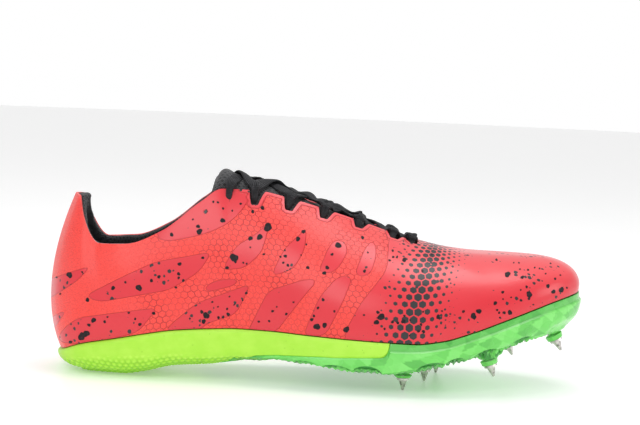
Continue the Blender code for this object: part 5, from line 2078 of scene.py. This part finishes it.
@dataclass
class Laces:
    """The lace as flat runs that cross over the tongue and dive into the notches."""

    last: Last
    upper: Upper
    width: float = 0.0064
    thick: float = 0.0013
    top_place: float = 0.0590
    top_depth: float = 0.0058
    tucked_at: tuple[float, ...] = (0.0, 0.35, 0.60, 0.76, 0.87, 0.95, 1.0)
    tucked: tuple[float, ...] = (-0.0020, -0.0017, -0.0006, 0.0013, 0.0014, -0.0006, -0.0030)
    laid_at: tuple[float, ...] = (0.0, 0.5, 0.62, 0.75, 0.86, 0.94, 1.0)
    laid: tuple[float, ...] = (-0.0018, -0.0012, 0.0002, 0.0015, 0.0016, 0.0011, -0.0012)
    finish: LaceFinish = field(default_factory=LaceFinish)

    def ends(self) -> list[tuple[float, dict[int, float]]]:
        """Row and rises of each lace place, the eyelets first.

        Returns:
            Row, and rise on each side, of every place.
        """
        found = []
        for index in range(7):
            if index == 0:
                x, depth = self.top_place, self.top_depth
            else:
                start, back, whole, deep = self.upper.cuts()[index - 1]
                x, depth = start + back + NOTCH_FLOOR * (0.5 if index < 6 else 0.45), 0.72 * deep
            row = float(self.last.row_at_edge(x))
            rises = {}
            for side in Side:
                tries = np.linspace(1.0, 0.55, 121)
                line = self.last.wall(np.full_like(tries, row), side, tries)
                lengths = run_length(line)
                rises[side] = float(np.interp(depth, lengths, tries))
            found.append((row, rises))
        return found

    def ribbon(self, shell: Shell, maps: list, path: tuple, layer: float, seed: float) -> None:
        """Add one flat run from one lace place to another.

        Args:
            shell: The mesh that gathers the runs.
            maps: Flat coordinates gathered so far.
            path: Row and turn where the run starts and ends.
            layer: Height of the run over the others at the crossing.
            seed: Changes the small folds from run to run.
        """
        (row_a, turn_a, first_place), (row_b, turn_b, last_place) = path
        share = np.linspace(0.0, 1.0, 72)
        away = np.abs(share * 2.0 - 1.0)
        sway = 0.5 - 0.5 * np.cos(math.pi * share)
        row = row_a + (row_b - row_a) * (0.35 * share + 0.65 * sway)
        turn = turn_a + (turn_b - turn_a) * share
        lift = np.interp(away, self.tucked_at, self.tucked)
        over = np.interp(away, self.laid_at, self.laid)
        for flag, ahead in ((first_place, share < 0.5), (last_place, share >= 0.5)):
            lift = np.where(ahead & flag, over, lift)
        lift = lift + layer * np.exp(-((away / 0.30) ** 2))
        normal = self.last.normal(self.last.girth, row, turn)
        centre = self.last.girth(row, turn) + normal * lift[:, None]
        tangent = unit(np.gradient(centre, axis=0))
        aside = unit(np.cross(normal, tangent))
        lean = 0.55 * np.sin(seed * 3.1) * np.sin(math.pi * share * 2.0)
        lean = lean + 0.35 * np.sin(share * 7.0 + seed)
        up = unit(np.cross(tangent, aside))
        turned_aside = aside * np.cos(lean)[:, None] + up * np.sin(lean)[:, None]
        turned_up = up * np.cos(lean)[:, None] - aside * np.sin(lean)[:, None]
        half = self.width / 2.0 * np.interp(
            away, (0.0, 0.55, 0.78, 0.90, 1.0), (0.92, 0.98, 0.90, 0.62, 0.46)
        )
        thick = self.thick / 2.0 * np.interp(away, (0.0, 0.7, 0.9, 1.0), (1.0, 1.05, 1.6, 1.6))
        angles = np.linspace(0.0, 2.0 * math.pi, 25)[:-1]
        cosine, sine = np.cos(angles), np.sin(angles)
        flat_side = np.sign(cosine) * np.abs(cosine) ** 0.55
        flat_up = np.sign(sine) * np.abs(sine) ** 0.75
        cup = 0.10 * (flat_side ** 2)
        points = (
            centre[:, None] + turned_aside[:, None] * (
                half[:, None, None] * flat_side[None, :, None]
            )
            + turned_up[:, None] * (thick[:, None, None] * (flat_up - cup)[None, :, None])
        )
        numbers = shell.grid(points)
        shell.skin(np.concatenate([numbers, numbers[:, :1]], 1), True)
        shell.faces.append(tuple(numbers[0].tolist()))
        shell.faces.append(tuple(numbers[-1, ::-1].tolist()))
        along = run_length(centre)
        wide = flat_side[None, :] * (self.width / 2.0) + 0.0 * along[:, None]
        maps.append(
            np.stack([wide, np.broadcast_to(along[:, None], wide.shape)], -1).reshape(-1, 2)
        )

    def build(self) -> Piece:
        """Mesh all the runs as one piece.

        Returns:
            The piece.
        """
        places = self.ends()
        shell, maps = Shell(), []
        for index in range(6):
            (row_a, rise_a), (row_b, rise_b) = places[index], places[index + 1]
            for side in Side:
                start = (row_a, side * (2.0 - rise_a[side]), index == 0)
                end = (row_b, -side * (2.0 - rise_b[-side]), False)
                above = 1.0 if (side > 0) == (index % 2 == 0) else -1.0
                self.ribbon(shell, maps, (start, end), above * 0.0010 + 0.0006, index * 2.0 + side)
        row, rise = places[6]
        self.ribbon(
            shell, maps, ((row, -(2.0 - rise[-1]), False), (row + 0.02, 2.0 - rise[1], False)), 0.0,
            5.0
        )
        return shell.build("laces", None, np.concatenate(maps), 60.0)

    def make(self) -> Piece:
        """Build and dress the laces.

        Returns:
            The piece.
        """
        return dress(
            self.build(), self.finish.make(), "lace_weave",
            *(f"lace_cross_{k + 1}" for k in range(NOTCH_COUNT))
        )


@dataclass(frozen=True)
class SteelFinish:
    """Polished spike steel with fine turning marks."""

    colour: Colour = (0.60, 0.58, 0.54, 1.0)
    dark: Colour = (0.22, 0.21, 0.19, 1.0)

    def make(self) -> Material:
        """Build the material.

        Returns:
            The material.
        """
        made, n, shader = Nodes.start("spike_steel")
        place = n.add("TexCoord", output="Object")
        stain = n.add("TexNoise", {"Vector": place, "Scale": 500.0, "Detail": 3.0})
        n.put(
            shader.inputs["Base Color"], n.blend(n.ramp(stain, 0.45, 0.72), self.colour, self.dark)
        )
        shader.inputs["Metallic"].default_value = 1.0
        n.put(shader.inputs["Roughness"], n.ramp(stain, 0.3, 0.7, 0.16, 0.34))
        rings = n.add(
            "TexWave", {"Vector": place, "Scale": 900.0, "Distortion": 0.5}, "Fac",
            bands_direction="Z"
        )
        n.relief(shader, n.times(rings, 0.04), 0.5)
        return made


@dataclass
class Spikes:
    """Seven screwed-in pyramid spikes."""

    names: tuple[str, ...] = (
        "toe_lateral", "toe_medial", "second_lateral", "second_medial",
        "ball_lateral", "ball_centre", "ball_medial",
    )
    finish: SteelFinish = field(default_factory=SteelFinish)

    def make(self) -> list[Piece]:
        """Dress the spikes that the part already holds.

        Returns:
            The pieces.
        """
        finish = self.finish.make()
        for name in self.names:
            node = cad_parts["spike_" + name]
            node.data.materials.clear()
            node.data.materials.append(finish)
        return []


@dataclass
class Studio:
    """Pale floor, soft lights and the camera."""

    lens: float = 100.0

    def floor(self) -> None:
        """Lay the pale floor."""
        bpy.ops.object.select_all(action="DESELECT")
        bpy.ops.mesh.primitive_circle_add(
            vertices=96, radius=4.0, fill_type="NGON", location=(0.1, 0.0, 0.0)
        )
        floor = bpy.context.object
        floor.name = "studio_floor"
        bpy.ops.object.transform_apply(location=True, rotation=True, scale=True)
        made, n, shader = Nodes.start("studio_floor")
        grain = n.add(
            "TexNoise", {"Vector": n.add("TexCoord", output="Object"), "Scale": 9.0, "Detail": 2.0}
        )
        n.put(
            shader.inputs["Base Color"],
            n.blend(grain, (0.90, 0.90, 0.90, 1.0), (0.94, 0.94, 0.94, 1.0))
        )
        shader.inputs["Roughness"].default_value = 0.36
        # The floor glows a little: painted light that brightens it and lights the shoe from below.
        shader.inputs["Emission Color"].default_value = (1.0, 1.0, 1.0, 1.0)
        shader.inputs["Emission Strength"].default_value = 0.20
        floor.data.materials.append(made)

    def lamp(
        self, name: str, place: tuple[float, float, float], power: float, size: tuple[float, float]
    ) -> None:
        """Hang one soft box that looks at the shoe.

        Args:
            name: Name of the light.
            place: Where it hangs.
            power: Power in watts.
            size: Width and height.
        """
        light = bpy.data.lights.new(name, "AREA")
        light.shape, light.size, light.size_y, light.energy = "RECTANGLE", size[0], size[1], power
        obj = bpy.data.objects.new(name, light)
        obj.location = place
        obj.rotation_euler = (
            Vector((0.1, 0.0, 0.04)) - Vector(place)
        ).to_track_quat("-Z", "Y").to_euler()
        bpy.context.scene.collection.objects.link(obj)

    def camera(self) -> None:
        """Stand the camera at the picture's angle."""
        camera = bpy.data.cameras.new("camera")
        camera.lens, camera.sensor_width = self.lens, 36.0
        camera.clip_start = 0.05
        right, up, away = (Vector(v) for v in Sketch.axes())
        turn = Matrix((right, up, -away)).transposed().to_4x4()
        obj = bpy.data.objects.new("camera", camera)
        obj.matrix_world = Matrix.Translation(Vector(Sketch.aim) - away * Sketch.distance) @ turn
        bpy.context.scene.collection.objects.link(obj)
        bpy.context.scene.camera = obj

    def make(self) -> None:
        """Set up the whole studio.
        """
        world = bpy.data.worlds.new("studio")
        world.use_nodes = True
        n = Nodes(world.node_tree)
        back = world.node_tree.nodes["Background"]
        back.inputs[0].default_value = (1.0, 1.0, 1.0, 1.0)
        height = n.math(
            "ABSOLUTE", n.add("SeparateXYZ", {0: n.add("TexCoord", output="Generated")}, 2)
        )
        n.put(back.inputs[1], n.ramp(height, 0.16, 0.42, 1.0, 0.62))
        bpy.context.scene.world = world
        bpy.context.scene.view_settings.view_transform = "Standard"
        self.floor()
        self.lamp("front_box", (-0.25, -1.1, 0.9), 4.6, (0.9, 0.6))
        self.lamp("top_box", (0.2, 0.1, 1.2), 5.0, (0.9, 0.5))
        self.lamp("toe_box_light", (1.2, -0.3, 0.5), 2.0, (0.5, 0.5))
        self.camera()


def main() -> None:
    """Dress the shoe piece by piece and stand it in the studio."""
    logging.basicConfig(level=logging.INFO, format="%(message)s")
    last = Last()
    upper = Upper(last)
    makers: tuple = (
        upper, PaintDrops(upper), Midsole(last), SpikePlate(last), CollarLining(last),
        Tongue(last), Insole(last), Laces(last, upper), Spikes(),
    )
    for maker in makers:
        made = maker.make()
        for piece in made if isinstance(made, list) else [made]:
            LOG.info("%s: %d faces", piece.name, len(piece.data.polygons))
    Studio().make()


if __name__ == "__main__":
    main()
